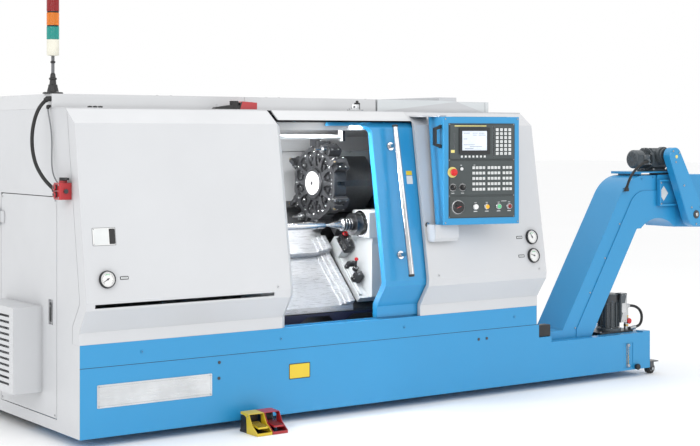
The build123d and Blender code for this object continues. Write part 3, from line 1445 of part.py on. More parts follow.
def make_pedal(index):
    """A treadle that rocks on its pin between the ears of the base."""
    left = pedal_left(index)
    axis_y, axis_z = pedal_axis()
    x0, x1 = left + 15 + seat_gap, left + pedal_pitch - 20 - seat_gap
    plate = prism_x([(axis_y - 6, axis_z + 3), (axis_y - 6, axis_z + 11), (pedal_front + 14, 40),
                     (pedal_front + 14, 32)], x0, x1)
    hub = rod((x0, axis_y, axis_z), (x1, axis_y, axis_z), 9)
    return plate + hub + rod((left + 9, axis_y, axis_z), (left + pedal_pitch - 14, axis_y, axis_z), pedal_pin)


def all_nodes():
    """Every named piece of the lathe, in the modelling frame."""
    nodes = {
        "bed": make_bed(),
        "levelling_feet": make_levelling_feet(),
        "skirt": make_skirt(),
        "coolant_tank": make_coolant_tank(),
        "chip_trough": make_chip_trough(),
        "casing": make_casing(),
        "roof_cover": make_roof_cover(),
        "front_cover_left": make_front_cover_left(),
        "front_cover_right": make_front_cover_right(),
        "interior_liner": make_interior_liner(),
        "way_covers": make_way_covers(),
        "headstock": make_headstock(),
        "spindle_chuck": make_spindle(),
        "workpiece_bar": make_workpiece(),
        "tailstock_body": make_tailstock_body(),
        "quill": make_quill(),
        "live_centre": make_live_centre(),
        "clamp_lever": make_clamp_lever(),
        "saddle": make_saddle(),
        "cross_slide": make_cross_slide(),
        "turret_disc": make_turret_disc(),
        "tool_holders": make_tool_holders(),
        "door_panel": make_door_panel(),
        "door_window": make_door_window(),
        "door_handle": make_door_handle(),
        "service_door": make_service_door(),
        "power_box": make_power_box(),
        "power_lever": make_power_lever(),
        "cable_glands": make_cable_glands(),
        "signal_tower": make_signal_tower(),
        "tower_lenses": make_tower_lenses(),
        "top_cabinet": make_top_cabinet(),
        "interlock_switch": make_interlock_switch(),
        "pressure_gauges": make_pressure_gauges(),
        "panel_bracket": make_panel_bracket(),
        "panel_housing": make_panel_housing(),
        "panel_face": make_panel_face(),
        "panel_grip": make_panel_grip(),
        "emergency_stop": make_e_stop(),
        "feed_knob": make_knob(knob_places[0]),
        "speed_knob": make_knob(knob_places[1]),
        "handwheel": make_handwheel(),
        "conveyor_housing": make_conveyor_housing(),
        "conveyor_head": make_conveyor_head(),
        "gear_motor": make_gear_motor(),
        "chain_guard": make_chain_guard(),
        "coolant_pump": make_coolant_pump(),
        "tank_wheel_front": make_tank_wheel(wheel_rows()[0]),
        "tank_wheel_rear": make_tank_wheel(wheel_rows()[1]),
        "pedal_base": make_pedal_base(),
        "pedal_guards": make_pedal_guards(),
        "pedal_yellow": make_pedal(0),
        "pedal_red": make_pedal(1),
        "main_cable": make_cord(main_cable_points, main_cable_radius, "main_cable"),
        "signal_cable": make_cord(signal_cable_points, signal_cable_radius, "signal_cable"),
        "motor_cable": make_cord(motor_cable_points, motor_cable_radius, "motor_cable"),
        "pump_hose": make_cord(hose_points, hose_radius, "pump_hose"),
    }
    for index in range(3):
        nodes[f"chuck_jaw_{index + 1}"] = make_jaw(index)
    return nodes


def as_compound(piece):
    """One shape from a solid or a list of solids."""
    if isinstance(piece, list):
        return Compound(children=[Compound(solid.solids()) for solid in piece])
    return Compound(piece.solids())


def origin_shift(shapes):
    """The point under the middle of the whole part's box."""
    boxes = [shape.bounding_box() for shape in shapes]
    low = [min(getattr(b.min, axis) for b in boxes) for axis in "XYZ"]
    high = [max(getattr(b.max, axis) for b in boxes) for axis in "XYZ"]
    return ((low[0] + high[0]) / 2, (low[1] + high[1]) / 2, low[2])


def main():
    os.makedirs("parts", exist_ok=True)
    shapes = {name: as_compound(piece) for name, piece in all_nodes().items()}
    shift = origin_shift(shapes.values())
    print("origin in the modelling frame", [round(v, 3) for v in shift])
    for name, shape in shapes.items():
        export_step(Pos(-shift[0], -shift[1], -shift[2]) * shape, f"parts/{name}.step")


main()
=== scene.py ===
"""Looks of the CNC turning lathe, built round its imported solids.

Lengths are written in millimetres in the layout of the part's source: X along the spindle from
the left end wall, Y into the depth from the skirt's front, Z up from the floor. They become
metres in the row frame when a piece is finished.
"""
import json
import math

import bmesh
import bpy
from mathutils import Matrix, Vector


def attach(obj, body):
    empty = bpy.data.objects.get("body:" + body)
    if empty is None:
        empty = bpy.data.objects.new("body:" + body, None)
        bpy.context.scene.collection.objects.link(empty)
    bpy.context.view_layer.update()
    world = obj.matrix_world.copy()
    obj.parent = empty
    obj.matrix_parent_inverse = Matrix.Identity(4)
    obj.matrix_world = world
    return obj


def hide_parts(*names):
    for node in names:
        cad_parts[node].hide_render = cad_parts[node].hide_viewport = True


ORIGIN = Vector((2204.5, 619.06, 0.0))
LEAN = math.atan(131.0 / 844.0)
PANEL = Matrix.Translation((2120, -75, 0)) @ Matrix.Rotation(math.radians(-13), 4, "Z")
FACE = -87.0
TURRET = Vector((1690.0, 524.86, 1214.86))
SPINDLE = Vector((0.0, 300.0, 990.0))

DIAGONAL = 0.70711
REAR_WALL, RIGHT_WALL, LEDGE_TOP, ROOF_TOP = 1500.0, 2906.0, 1619.0, 1688.0
GUARD_FACE = -34.0
MOTOR = Vector((3845.9, 150.0, 1335.0))
CHUTE_ANGLE = math.radians(58.5)

# Directions in the layout. In a placed frame, OUT leads away from the surface.
RIGHT, LEFT, REAR, FRONT, UP = (1, 0, 0), (-1, 0, 0), (0, 1, 0), (0, -1, 0), (0, 0, 1)
OUT = UP

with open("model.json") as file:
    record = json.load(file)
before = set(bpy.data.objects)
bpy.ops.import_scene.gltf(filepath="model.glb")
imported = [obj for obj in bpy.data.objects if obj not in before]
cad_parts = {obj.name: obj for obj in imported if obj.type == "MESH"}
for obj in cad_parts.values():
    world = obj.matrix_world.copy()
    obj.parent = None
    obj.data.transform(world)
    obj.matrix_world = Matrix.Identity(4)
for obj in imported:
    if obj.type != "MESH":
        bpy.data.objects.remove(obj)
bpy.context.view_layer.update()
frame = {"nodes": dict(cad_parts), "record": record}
body_of = {n: b for b, names in frame["record"]["behaviour"]["bodies"].items() for n in names}


def facing(along, up, out, spot):
    """A frame whose local x, y and z point along, up and out from a spot."""
    return Matrix([(along[i], up[i], out[i], spot[i]) for i in range(3)] + [(0, 0, 0, 1)])


# The bed's slope, turned about the spindle's line.
SLOPE = facing(RIGHT, (0, DIAGONAL, DIAGONAL), (0, -DIAGONAL, DIAGONAL), SPINDLE)


def spun(degrees, axis):
    """A turn about one axis."""
    return Matrix.Rotation(math.radians(degrees), 4, axis)


def clock(count, radius, start=0):
    """Points evenly round a circle, from a start in degrees."""
    angles = [math.radians(start + k * 360 / count) for k in range(count)]
    return [(radius * math.cos(a), radius * math.sin(a)) for a in angles]


def metres(point):
    """A layout point in millimetres as a row-frame point in metres."""
    return (Vector(point) - ORIGIN) * 0.001


# Materials

def fill(node, values):
    """Sets a node's own sockets by name."""
    for socket, value in values.items():
        node.inputs[socket].default_value = value


def shader(name):
    """A new material with its tree and its principled shader."""
    made = bpy.data.materials.new(name)
    made.use_nodes = True
    tree = made.node_tree
    tree.nodes.clear()
    out = tree.nodes.new("ShaderNodeOutputMaterial")
    main = tree.nodes.new("ShaderNodeBsdfPrincipled")
    tree.links.new(main.outputs[0], out.inputs[0])
    return made, tree, main


def noise(tree, scale, detail=3.0, stretch=(1, 1, 1)):
    """Noise over object coordinates, in cells per metre."""
    place = tree.nodes.new("ShaderNodeTexCoord")
    mapping = tree.nodes.new("ShaderNodeMapping")
    mapping.inputs["Scale"].default_value = stretch
    tree.links.new(place.outputs["Object"], mapping.inputs[0])
    made = tree.nodes.new("ShaderNodeTexNoise")
    fill(made, {"Scale": scale, "Detail": detail})
    tree.links.new(mapping.outputs[0], made.inputs["Vector"])
    return made.outputs["Fac"]


def spread(tree, value, low, high):
    """Noise carried to a range of values."""
    made = tree.nodes.new("ShaderNodeMapRange")
    fill(made, {"From Min": 0.3, "From Max": 0.7, "To Min": low, "To Max": high})
    tree.links.new(value, made.inputs["Value"])
    return made.outputs[0]


def tint(tree, colour, value, share):
    """A colour that drifts darker by a share where the noise is low."""
    made = tree.nodes.new("ShaderNodeMix")
    made.data_type = "RGBA"
    fill(made, {"A": (*[c * (1 - share) for c in colour], 1), "B": (*colour, 1)})
    tree.links.new(value, made.inputs["Factor"])
    return made.outputs["Result"]


def painted_crevice_shade(tree, colour, reach, depth):
    """Darkens a colour in corners and seams by ambient occlusion: painted shade."""
    near = tree.nodes.new("ShaderNodeAmbientOcclusion")
    near.samples = 4
    near.inputs["Distance"].default_value = reach
    keep = tree.nodes.new("ShaderNodeMapRange")
    keep.inputs["To Min"].default_value = 1 - depth
    tree.links.new(near.outputs["AO"], keep.inputs["Value"])
    made = tree.nodes.new("ShaderNodeVectorMath")
    made.operation = "MULTIPLY"
    tree.links.new(colour, made.inputs[0])
    tree.links.new(keep.outputs[0], made.inputs[1])
    return made.outputs[0]


def relief(tree, main, value, strength, distance, edge):
    """Bump over normals that are rounded at the edges, as a folded or machined edge is."""
    rounded = tree.nodes.new("ShaderNodeBevel")
    rounded.samples = 4
    rounded.inputs["Radius"].default_value = edge
    bump = tree.nodes.new("ShaderNodeBump")
    fill(bump, {"Strength": strength, "Distance": distance})
    tree.links.new(value, bump.inputs["Height"])
    tree.links.new(rounded.outputs[0], bump.inputs["Normal"])
    tree.links.new(bump.outputs[0], main.inputs["Normal"])


def paint(name, colour, rough=0.36, edge=0.0016, peel=0.05, crevice_shade=0.35, drift=0.05):
    """Sprayed enamel: orange peel, slow colour drift, duller patches and painted shade in corners."""
    made, tree, main = shader(name)
    tone = tint(tree, colour, spread(tree, noise(tree, 1.7, 5), 0, 1), drift)
    # Ambient occlusion darkens the base colour in corners and seams: painted shade.
    tree.links.new(painted_crevice_shade(tree, tone, 0.03, crevice_shade), main.inputs["Base Color"])
    wear = spread(tree, noise(tree, 9, 6), rough - 0.06, rough + 0.08)
    tree.links.new(wear, main.inputs["Roughness"])
    fill(main, {"Coat Weight": 0.25, "Coat Roughness": 0.2})
    relief(tree, main, noise(tree, 420, 2), peel, 0.0004, edge)
    return made


def metal(name, colour, rough=0.3, grain=(1, 1, 1), scale=60, bump=0.1, edge=0.0008, crevice_shade=0.4, metallic=1.0):
    """Machined or brushed metal; the grain stretches its scratches along an axis."""
    made, tree, main = shader(name)
    marks = noise(tree, scale, 6, grain)
    tone = tint(tree, colour, spread(tree, noise(tree, 6, 5), 0, 1), 0.22)
    # Ambient occlusion darkens the base colour in corners and seams: painted shade.
    tree.links.new(painted_crevice_shade(tree, tone, 0.02, crevice_shade), main.inputs["Base Color"])
    main.inputs["Metallic"].default_value = metallic
    tree.links.new(spread(tree, marks, rough - 0.08, rough + 0.12), main.inputs["Roughness"])
    relief(tree, main, marks, bump, 0.0003, edge)
    return made


def moulded(name, colour, rough=0.45, grain=900, bump=0.12, edge=0.0008, glow=0.0):
    """Moulded plastic or rubber with a fine texture."""
    made, tree, main = shader(name)
    tone = tint(tree, colour, spread(tree, noise(tree, 14, 4), 0, 1), 0.12)
    # Ambient occlusion darkens the base colour in corners and seams: painted shade.
    tree.links.new(painted_crevice_shade(tree, tone, 0.01, 0.3), main.inputs["Base Color"])
    tree.links.new(spread(tree, noise(tree, 40, 4), rough - 0.07, rough + 0.1), main.inputs["Roughness"])
    relief(tree, main, noise(tree, grain, 2), bump, 0.0002, edge)
    if glow:
        fill(main, {"Emission Color": (*colour, 1), "Emission Strength": glow})
    return made


def clear(name, colour, through, rough=0.06, glow=0.0):
    """Glass or coloured lens, with faint smears."""
    made, tree, main = shader(name)
    fill(main, {"Base Color": (*colour, 1), "Transmission Weight": through, "IOR": 1.45})
    tree.links.new(spread(tree, noise(tree, 12, 5), rough, rough + 0.1), main.inputs["Roughness"])
    relief(tree, main, noise(tree, 5, 2), 0.02, 0.0005, 0.0006)
    if glow:
        fill(main, {"Emission Color": (*colour, 1), "Emission Strength": glow})
    return made


GREY = paint("light_grey_enamel", (0.565, 0.575, 0.592), 0.4)
ROOF = paint("roof_grey_enamel", (0.60, 0.608, 0.62), 0.45)
# Light-grey casting paint, made lighter than the covers' grey to make up for the shade on the tailstock in
# the work space: partly painted light.
LIGHTENED_CAST = paint("casting_grey_enamel_lightened", (0.64, 0.67, 0.685), 0.42, peel=0.12, edge=0.003)
BLUE = paint("sky_blue_enamel", (0.02, 0.27, 0.55), 0.36)
HEADER = paint("header_grey_enamel", (0.13, 0.14, 0.14), 0.4, crevice_shade=0.5)
INNER = paint("inside_grey_enamel", (0.42, 0.43, 0.44), 0.36, crevice_shade=0.55, drift=0.2)
# The sky blue darkened to navy for the chip trough, which sits in shade: painted shade.
SHADED_BLUE = paint("shaded_blue_enamel", (0.018, 0.022, 0.055), 0.35, crevice_shade=0.5)
SLATE = paint("motor_slate_enamel", (0.06, 0.074, 0.084), 0.42, peel=0.15)
SLIDE = paint("slide_cover_grey", (0.20, 0.215, 0.225), 0.32, crevice_shade=0.5)
BLACK = paint("satin_black_enamel", (0.012, 0.012, 0.014), 0.4)
RED = paint("red_enamel", (0.42, 0.02, 0.025), 0.35, peel=0.1)
YELLOW = paint("yellow_enamel", (0.72, 0.52, 0.02), 0.36, peel=0.1)
STEEL = metal("ground_steel", (0.56, 0.57, 0.58), 0.24, (0.05, 1, 1), 160)
TURNED = metal("turned_bar", (0.66, 0.66, 0.67), 0.2, (60, 1, 1), 30, 0.15)
DARK = metal("blackened_steel", (0.16, 0.163, 0.17), 0.36, (1, 1, 1), 45, 0.25, crevice_shade=0.6)
OILED = metal("oiled_dark_steel", (0.085, 0.088, 0.094), 0.34, (1, 1, 1), 45, 0.25, crevice_shade=0.6, metallic=0.7)
STAINLESS = metal("brushed_stainless", (0.62, 0.635, 0.66), 0.3, (1, 30, 30), 14, 0.08, 0.001, 0.5, 0.55)
CHROME = metal("polished_chrome", (0.62, 0.63, 0.65), 0.14, scale=30, bump=0.02, crevice_shade=0.2)
ALUMINIUM = metal("brushed_aluminium", (0.66, 0.67, 0.68), 0.3, (0.04, 1, 1), 220, 0.1)
IRON = metal("scraped_iron", (0.16, 0.165, 0.17), 0.45, scale=120, bump=0.3, metallic=0.8)
GOLD = metal("coated_insert", (0.75, 0.48, 0.12), 0.25, scale=200)
BRASS = metal("brass_fitting", (0.60, 0.42, 0.16), 0.28)
CHARCOAL = moulded("charcoal_plate", (0.055, 0.068, 0.07), 0.42)
DEEP = moulded("dark_bezel", (0.018, 0.02, 0.022), 0.36)
PLASTIC = moulded("black_plastic", (0.014, 0.014, 0.015), 0.42)
RUBBER = moulded("black_rubber", (0.012, 0.012, 0.012), 0.6, 400, 0.25)
IVORY = moulded("ivory_plastic", (0.72, 0.70, 0.60), 0.4)
KEYCAP = moulded("key_white", (0.70, 0.72, 0.72), 0.4)
KEYGREY = moulded("key_mark", (0.18, 0.19, 0.2), 0.5)
WHITE = moulded("white_plastic", (0.80, 0.80, 0.79), 0.35, bump=0.05)
SCREEN = moulded("screen_pale", (0.72, 0.78, 0.88), 0.25, bump=0.0, glow=0.1)
SCREENMARK = moulded("screen_mark", (0.16, 0.2, 0.26), 0.3, bump=0.0)
STOPRED = moulded("stop_red", (0.62, 0.012, 0.012), 0.28)
COLLAR = moulded("collar_yellow", (0.80, 0.70, 0.22), 0.4)
AMBERCAP = moulded("amber_cap", (0.85, 0.42, 0.02), 0.3, glow=0.15)
GREENCAP = moulded("green_cap", (0.10, 0.50, 0.22), 0.3, glow=0.1)
WINECAP = moulded("wine_cap", (0.22, 0.01, 0.01), 0.3)
TUBE = moulded("lamp_tube", (0.26, 0.28, 0.29), 0.35, bump=0.0)
GLASS = clear("safety_glass", (0.86, 0.94, 0.93), 0.95, 0.03)
SIGHT = clear("sight_tube", (0.80, 0.88, 0.86), 0.8, 0.08)
LENSES = [clear("lens_green", (0.01, 0.30, 0.26), 0.35, 0.18, 0.12),
          clear("lens_amber", (0.75, 0.20, 0.01), 0.35, 0.18, 0.12),
          clear("lens_red", (0.30, 0.004, 0.006), 0.35, 0.18, 0.1)]


# Building pieces

def linked(name, data):
    """A new object with this data, in the scene."""
    made = bpy.data.objects.new(name, data)
    bpy.context.scene.collection.objects.link(made)
    return made


class Piece:
    """Faces gathered in layout millimetres that become one named object on a body."""

    def __init__(self, name, body, slot, replaces=()):
        self.name, self.body, self.slot, self.nodes = name, body, slot, replaces
        self.mesh = bmesh.new()
        self.paints = []

    def index(self, look):
        if look not in self.paints:
            self.paints.append(look)
        return self.paints.index(look)

    def faces(self, look, corners, rings, place=None):
        """Corners and the faces between them, moved to their place. Gives the faces."""
        made = [self.mesh.verts.new(place @ Vector(c) if place else Vector(c)) for c in corners]
        number = self.index(look)
        faces = []
        for ring in rings:
            face = self.mesh.faces.new([made[i] for i in ring])
            face.material_index = number
            faces.append(face)
        return faces

    def block(self, look, x0, x1, y0, y1, z0, z1, place=None, edge=0.6):
        """A block with rounded edges."""
        corners = [(x, y, z) for x in (x0, x1) for y in (y0, y1) for z in (z0, z1)]
        rings = [(0, 1, 3, 2), (4, 6, 7, 5), (0, 4, 5, 1), (2, 3, 7, 6), (0, 2, 6, 4), (1, 5, 7, 3)]
        faces = self.faces(look, corners, rings, place)
        edge = min(edge, 0.4 * min(abs(x1 - x0), abs(y1 - y0), abs(z1 - z0)))
        edges = list({e for f in faces for e in f.edges})
        bmesh.ops.bevel(self.mesh, geom=edges, offset=edge, segments=2, affect="EDGES", profile=0.6)

    def turned(self, look, base, axis, profile, sides=40, ridges=0, depth=0.0, place=None, ring=False):
        """A turned shape: (distance, radius) pairs along an axis, fluted where ridges are given.

        A ring's last pair joins its first, so its middle stays open.
        """
        base, axis = Vector(base), Vector(axis).normalized()
        side = axis.orthogonal().normalized()
        up = axis.cross(side)
        corners, rings = [], []
        for along, radius in profile:
            for k in range(sides):
                a = 2 * math.pi * k / sides
                r = max(radius, 0.01) * (1 + depth * math.cos(ridges * a) if ridges and radius > 0.5 else 1)
                corners.append(base + axis * along + (side * math.cos(a) + up * math.sin(a)) * r)
        for j in range(len(profile) if ring else len(profile) - 1):
            m = (j + 1) % len(profile)
            for k in range(sides):
                n = (k + 1) % sides
                rings.append((j * sides + k, j * sides + n, m * sides + n, m * sides + k))
        if not ring:
            rings.append(tuple(reversed(range(sides))))
            rings.append(tuple(range((len(profile) - 1) * sides, len(profile) * sides)))
        self.faces(look, corners, rings, place)

    def plate(self, look, outline, thick, place):
        """A flat outline of local (x, y) points raised along local z."""
        count = len(outline)
        corners = [(x, y, 0) for x, y in outline] + [(x, y, thick) for x, y in outline]
        rings = [tuple(reversed(range(count))), tuple(range(count, 2 * count))]
        rings += [(k, (k + 1) % count, (k + 1) % count + count, k + count) for k in range(count)]
        self.faces(look, corners, rings, place)

    def bolt(self, look, base, axis, radius, high, place=None):
        """A cap screw: a domed head with a dark hexagon socket."""
        head = [(0, radius), (high * 0.75, radius), (high, radius * 0.82)]
        self.turned(look, base, axis, head, 20, place=place)
        top = Vector(base) + Vector(axis).normalized() * high
        self.turned(OILED, top, axis, [(-0.2, radius * 0.45), (0.05, radius * 0.45)], 6, place=place)

    def bolts(self, look, spots, axis, radius, high, place=None):
        """The same screw at several spots."""
        for spot in spots:
            self.bolt(look, spot, axis, radius, high, place)

    def flush(self, look, places, radius, high):
        """The same screw at the origin of several frames."""
        for place in places:
            self.bolt(look, (0, 0, 0), OUT, radius, high, place)

    def dial(self, look, x, z, out, profile, sides, ridges=0, depth=0.0):
        """A turned shape that stands out from the control panel's face."""
        self.turned(look, (x, FACE - out, z), FRONT, profile, sides, ridges, depth, PANEL)

    def done(self):
        """Moves to metres, marks sharp edges and puts the object on its body."""
        bm = self.mesh
        for v in bm.verts:
            v.co = metres(v.co)
        finish_mesh(bm)
        data = bpy.data.meshes.new(self.name)
        bm.to_mesh(data)
        bm.free()
        made = linked(self.name, data)
        for look in self.paints:
            data.materials.append(look)
        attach(made, self.body)
        if self.nodes:
            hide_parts(*self.nodes)
        return made


def finish_mesh(bm, angle=34):
    """Outward faces, smooth shading and sharp creases."""
    bmesh.ops.recalc_face_normals(bm, faces=bm.faces)
    limit = math.radians(angle)
    for face in bm.faces:
        face.smooth = True
    for edge in bm.edges:
        edge.smooth = len(edge.link_faces) == 2 and edge.calc_face_angle(0) < limit


def look(base, *nodes):
    """CAD nodes whose shape is right get their finished material."""
    for node in nodes:
        data = frame["nodes"][node].data
        data.materials.clear()
        data.materials.append(base)


def zoned(node, base, zones):
    """A piece in the shape of its node, with materials by place; stands for that node."""
    source = frame["nodes"][node]
    bm = bmesh.new()
    bm.from_mesh(source.data)
    bmesh.ops.remove_doubles(bm, verts=bm.verts, dist=0.00002)
    paints = [base]
    for face in bm.faces:
        face.material_index = 0
        centre = face.calc_center_median() * 1000 + ORIGIN
        for test, paint_of in zones:
            if test(centre, face.normal):
                if paint_of not in paints:
                    paints.append(paint_of)
                face.material_index = paints.index(paint_of)
                break
    finish_mesh(bm)
    data = bpy.data.meshes.new(node + "_finish")
    bm.to_mesh(data)
    bm.free()
    made = linked(node + "_finish", data)
    for item in paints:
        data.materials.append(item)
    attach(made, body_of[node])
    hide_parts(node)
    return made


def grid(xs, ys, z=0):
    """Points at every x and y, at one height."""
    return [(x, y, z) for x in xs for y in ys]


def front_y(z):
    """Depth of the sloped front at a height."""
    return -81 + (z - 698) * math.tan(LEAN)


def on_front(x, z, out=0.0):
    """Place on the sloped front: local x along the machine, y up the slope, z outwards."""
    away = Vector((0, -math.cos(LEAN), math.sin(LEAN)))
    up = Vector((0, math.sin(LEAN), math.cos(LEAN)))
    return facing(RIGHT, up, away, Vector((x, front_y(z), z)) + away * out)


def flat_front(x, z, y=0.0):
    """Place on an upright front face: local x along, y up, z outwards."""
    return facing(RIGHT, UP, FRONT, (x, y, z))


def on_left(y, z, x=0.0):
    """Place on the left end wall, facing away from the machine."""
    return facing(FRONT, UP, LEFT, (x, y, z))


def on_rear(x, z):
    """Place on the rear wall, facing away from the machine."""
    return facing(LEFT, UP, REAR, (x, REAR_WALL, z))


def rounded(width, height, radius, steps=5):
    """Outline of a rectangle with round corners, round the middle."""
    points = []
    for cx, cy, start in ((1, 1, 0), (-1, 1, 90), (-1, -1, 180), (1, -1, 270)):
        for k in range(steps + 1):
            a = math.radians(start + 90 * k / steps)
            points.append((cx * (width / 2 - radius) + radius * math.cos(a),
                           cy * (height / 2 - radius) + radius * math.sin(a)))
    return points


# Camera and free cords

# Each route in layout millimetres, then the cord's radius in millimetres and its length in metres.
CORDS = {
    "main_cable": (
        [(-26, 323, 1654), (-46, 324, 1636), (-66, 326, 1604), (-82, 327, 1560), (-94, 325, 1506),
         (-99, 319, 1446), (-97, 309, 1392), (-91, 290, 1342), (-82, 262, 1303), (-71, 232, 1270),
         (-58, 204, 1244), (-46, 182, 1226)], 9.0, 0.501),
    "signal_cable": (
        [(-14, 322, 1616), (-16, 314, 1596), (-14, 302, 1560), (-11, 291, 1510), (-10, 284, 1450),
         (-14, 278, 1390), (-20, 264, 1334), (-22, 242, 1294), (-20, 216, 1266), (-17, 192, 1251),
         (-15, 172, 1244)], 3.5, 0.423),
    "motor_cable": (
        [(3866, 38, 1322), (3831, 29, 1315), (3797, 25, 1303), (3765, 24, 1286), (3736, 26, 1263),
         (3715, 31, 1234), (3701, 38, 1201), (3696, 47, 1166)], 8.0, 0.255),
    "pump_hose": (
        [(3776, 110, 424), (3807, 108, 422), (3837, 105, 413), (3863, 102, 396), (3878, 99, 369),
         (3879, 97, 339), (3867, 94, 311), (3843, 92, 294), (3812, 92, 290)], 8.5, 0.243),
}


def make_cords():
    """Cables and hose as smooth curves on the routes of their solids."""
    for node, (points, radius, length) in CORDS.items():
        data = bpy.data.curves.new(node + "_sheath", "CURVE")
        data.dimensions = "3D"
        data.bevel_depth = radius * 0.001
        data.bevel_resolution = 5
        data.resolution_u = 10
        line = data.splines.new("NURBS")
        line.points.add(len(points) - 1)
        for spot, point in zip(line.points, points):
            spot.co = (*metres(point), 1)
        line.order_u = 3
        line.use_endpoint_u = True
        data.materials.append(KEYGREY if node == "signal_cable" else RUBBER)
        made = linked(node + "_sheath", data)
        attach(made, "machine")
        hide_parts(node)
        tuple(metres(points[0]))


def make_camera():
    """The camera of the photograph: level, turned 35 degrees, shifted down."""
    data = bpy.data.cameras.new("camera")
    data.sensor_width = 36
    data.lens = 76.63
    data.shift_y = -0.12357
    data.clip_end = 200
    made = linked("camera", data)
    made.location = (-5.2276, -7.08106, 1.4783)
    made.rotation_euler = (math.radians(90), 0, math.radians(-35.38))
    bpy.context.scene.camera = made


def make_light(name, place, size, power, colour=(1, 1, 1), aim=(-0.3, 0, 0.9)):
    """A soft panel light aimed at the machine."""
    data = bpy.data.lights.new(name, "AREA")
    data.shape = "RECTANGLE"
    data.size, data.size_y = size
    data.energy = power
    data.color = colour
    made = linked(name, data)
    made.location = place
    made.rotation_euler = (Vector(aim) - Vector(place)).to_track_quat("-Z", "Y").to_euler()


def make_studio():
    """Pale floor, white surroundings and soft lights."""
    scene = bpy.context.scene
    world = bpy.data.worlds.new("studio")
    scene.world = world
    world.use_nodes = True
    back = world.node_tree.nodes["Background"]
    back.inputs[0].default_value = (1.0, 1.0, 1.0, 1)
    back.inputs[1].default_value = 1.0
    data = bpy.data.meshes.new("floor")
    s = 60.0
    corners = [(x * s, y * s, -0.0008) for x, y in ((-1, -1), (1, -1), (1, 1), (-1, 1))]
    data.from_pydata(corners, [], [(0, 1, 2, 3)])
    floor = linked("floor", data)
    made, tree, main = shader("pale_floor")
    tone = tint(tree, (0.965, 0.968, 0.97), spread(tree, noise(tree, 0.5, 4), 0, 1), 0.01)
    tree.links.new(tone, main.inputs["Base Color"])
    fill(main, {"Roughness": 0.8})
    data.materials.append(made)
    make_light("key", (-3.5, -6.5, 4.6), (4.0, 2.6), 95)
    make_light("front", (3.2, -7.0, 3.2), (3.5, 2.5), 50)
    make_light("top", (0.3, 0.6, 5.2), (5.0, 2.4), 50)
    make_light("side", (-7.5, 0.5, 2.6), (2.5, 2.5), 25, (0.96, 0.98, 1.0))
    make_light("ceiling", metres((1480, 262, 1546)), (0.62, 0.06), 17, aim=metres((1560, 420, 900)))
    make_light("inside_left", metres((1150, 110, 1150)), (0.1, 0.5), 10, aim=metres((1850, 250, 900)))
    make_light("left_floor", (-6.2, -3.0, 3.6), (2.0, 2.0), 45, aim=(-3.4, -0.9, 0))
    scene.cycles.seed = 7
    scene.view_settings.view_transform = "Standard"


# Enclosure details

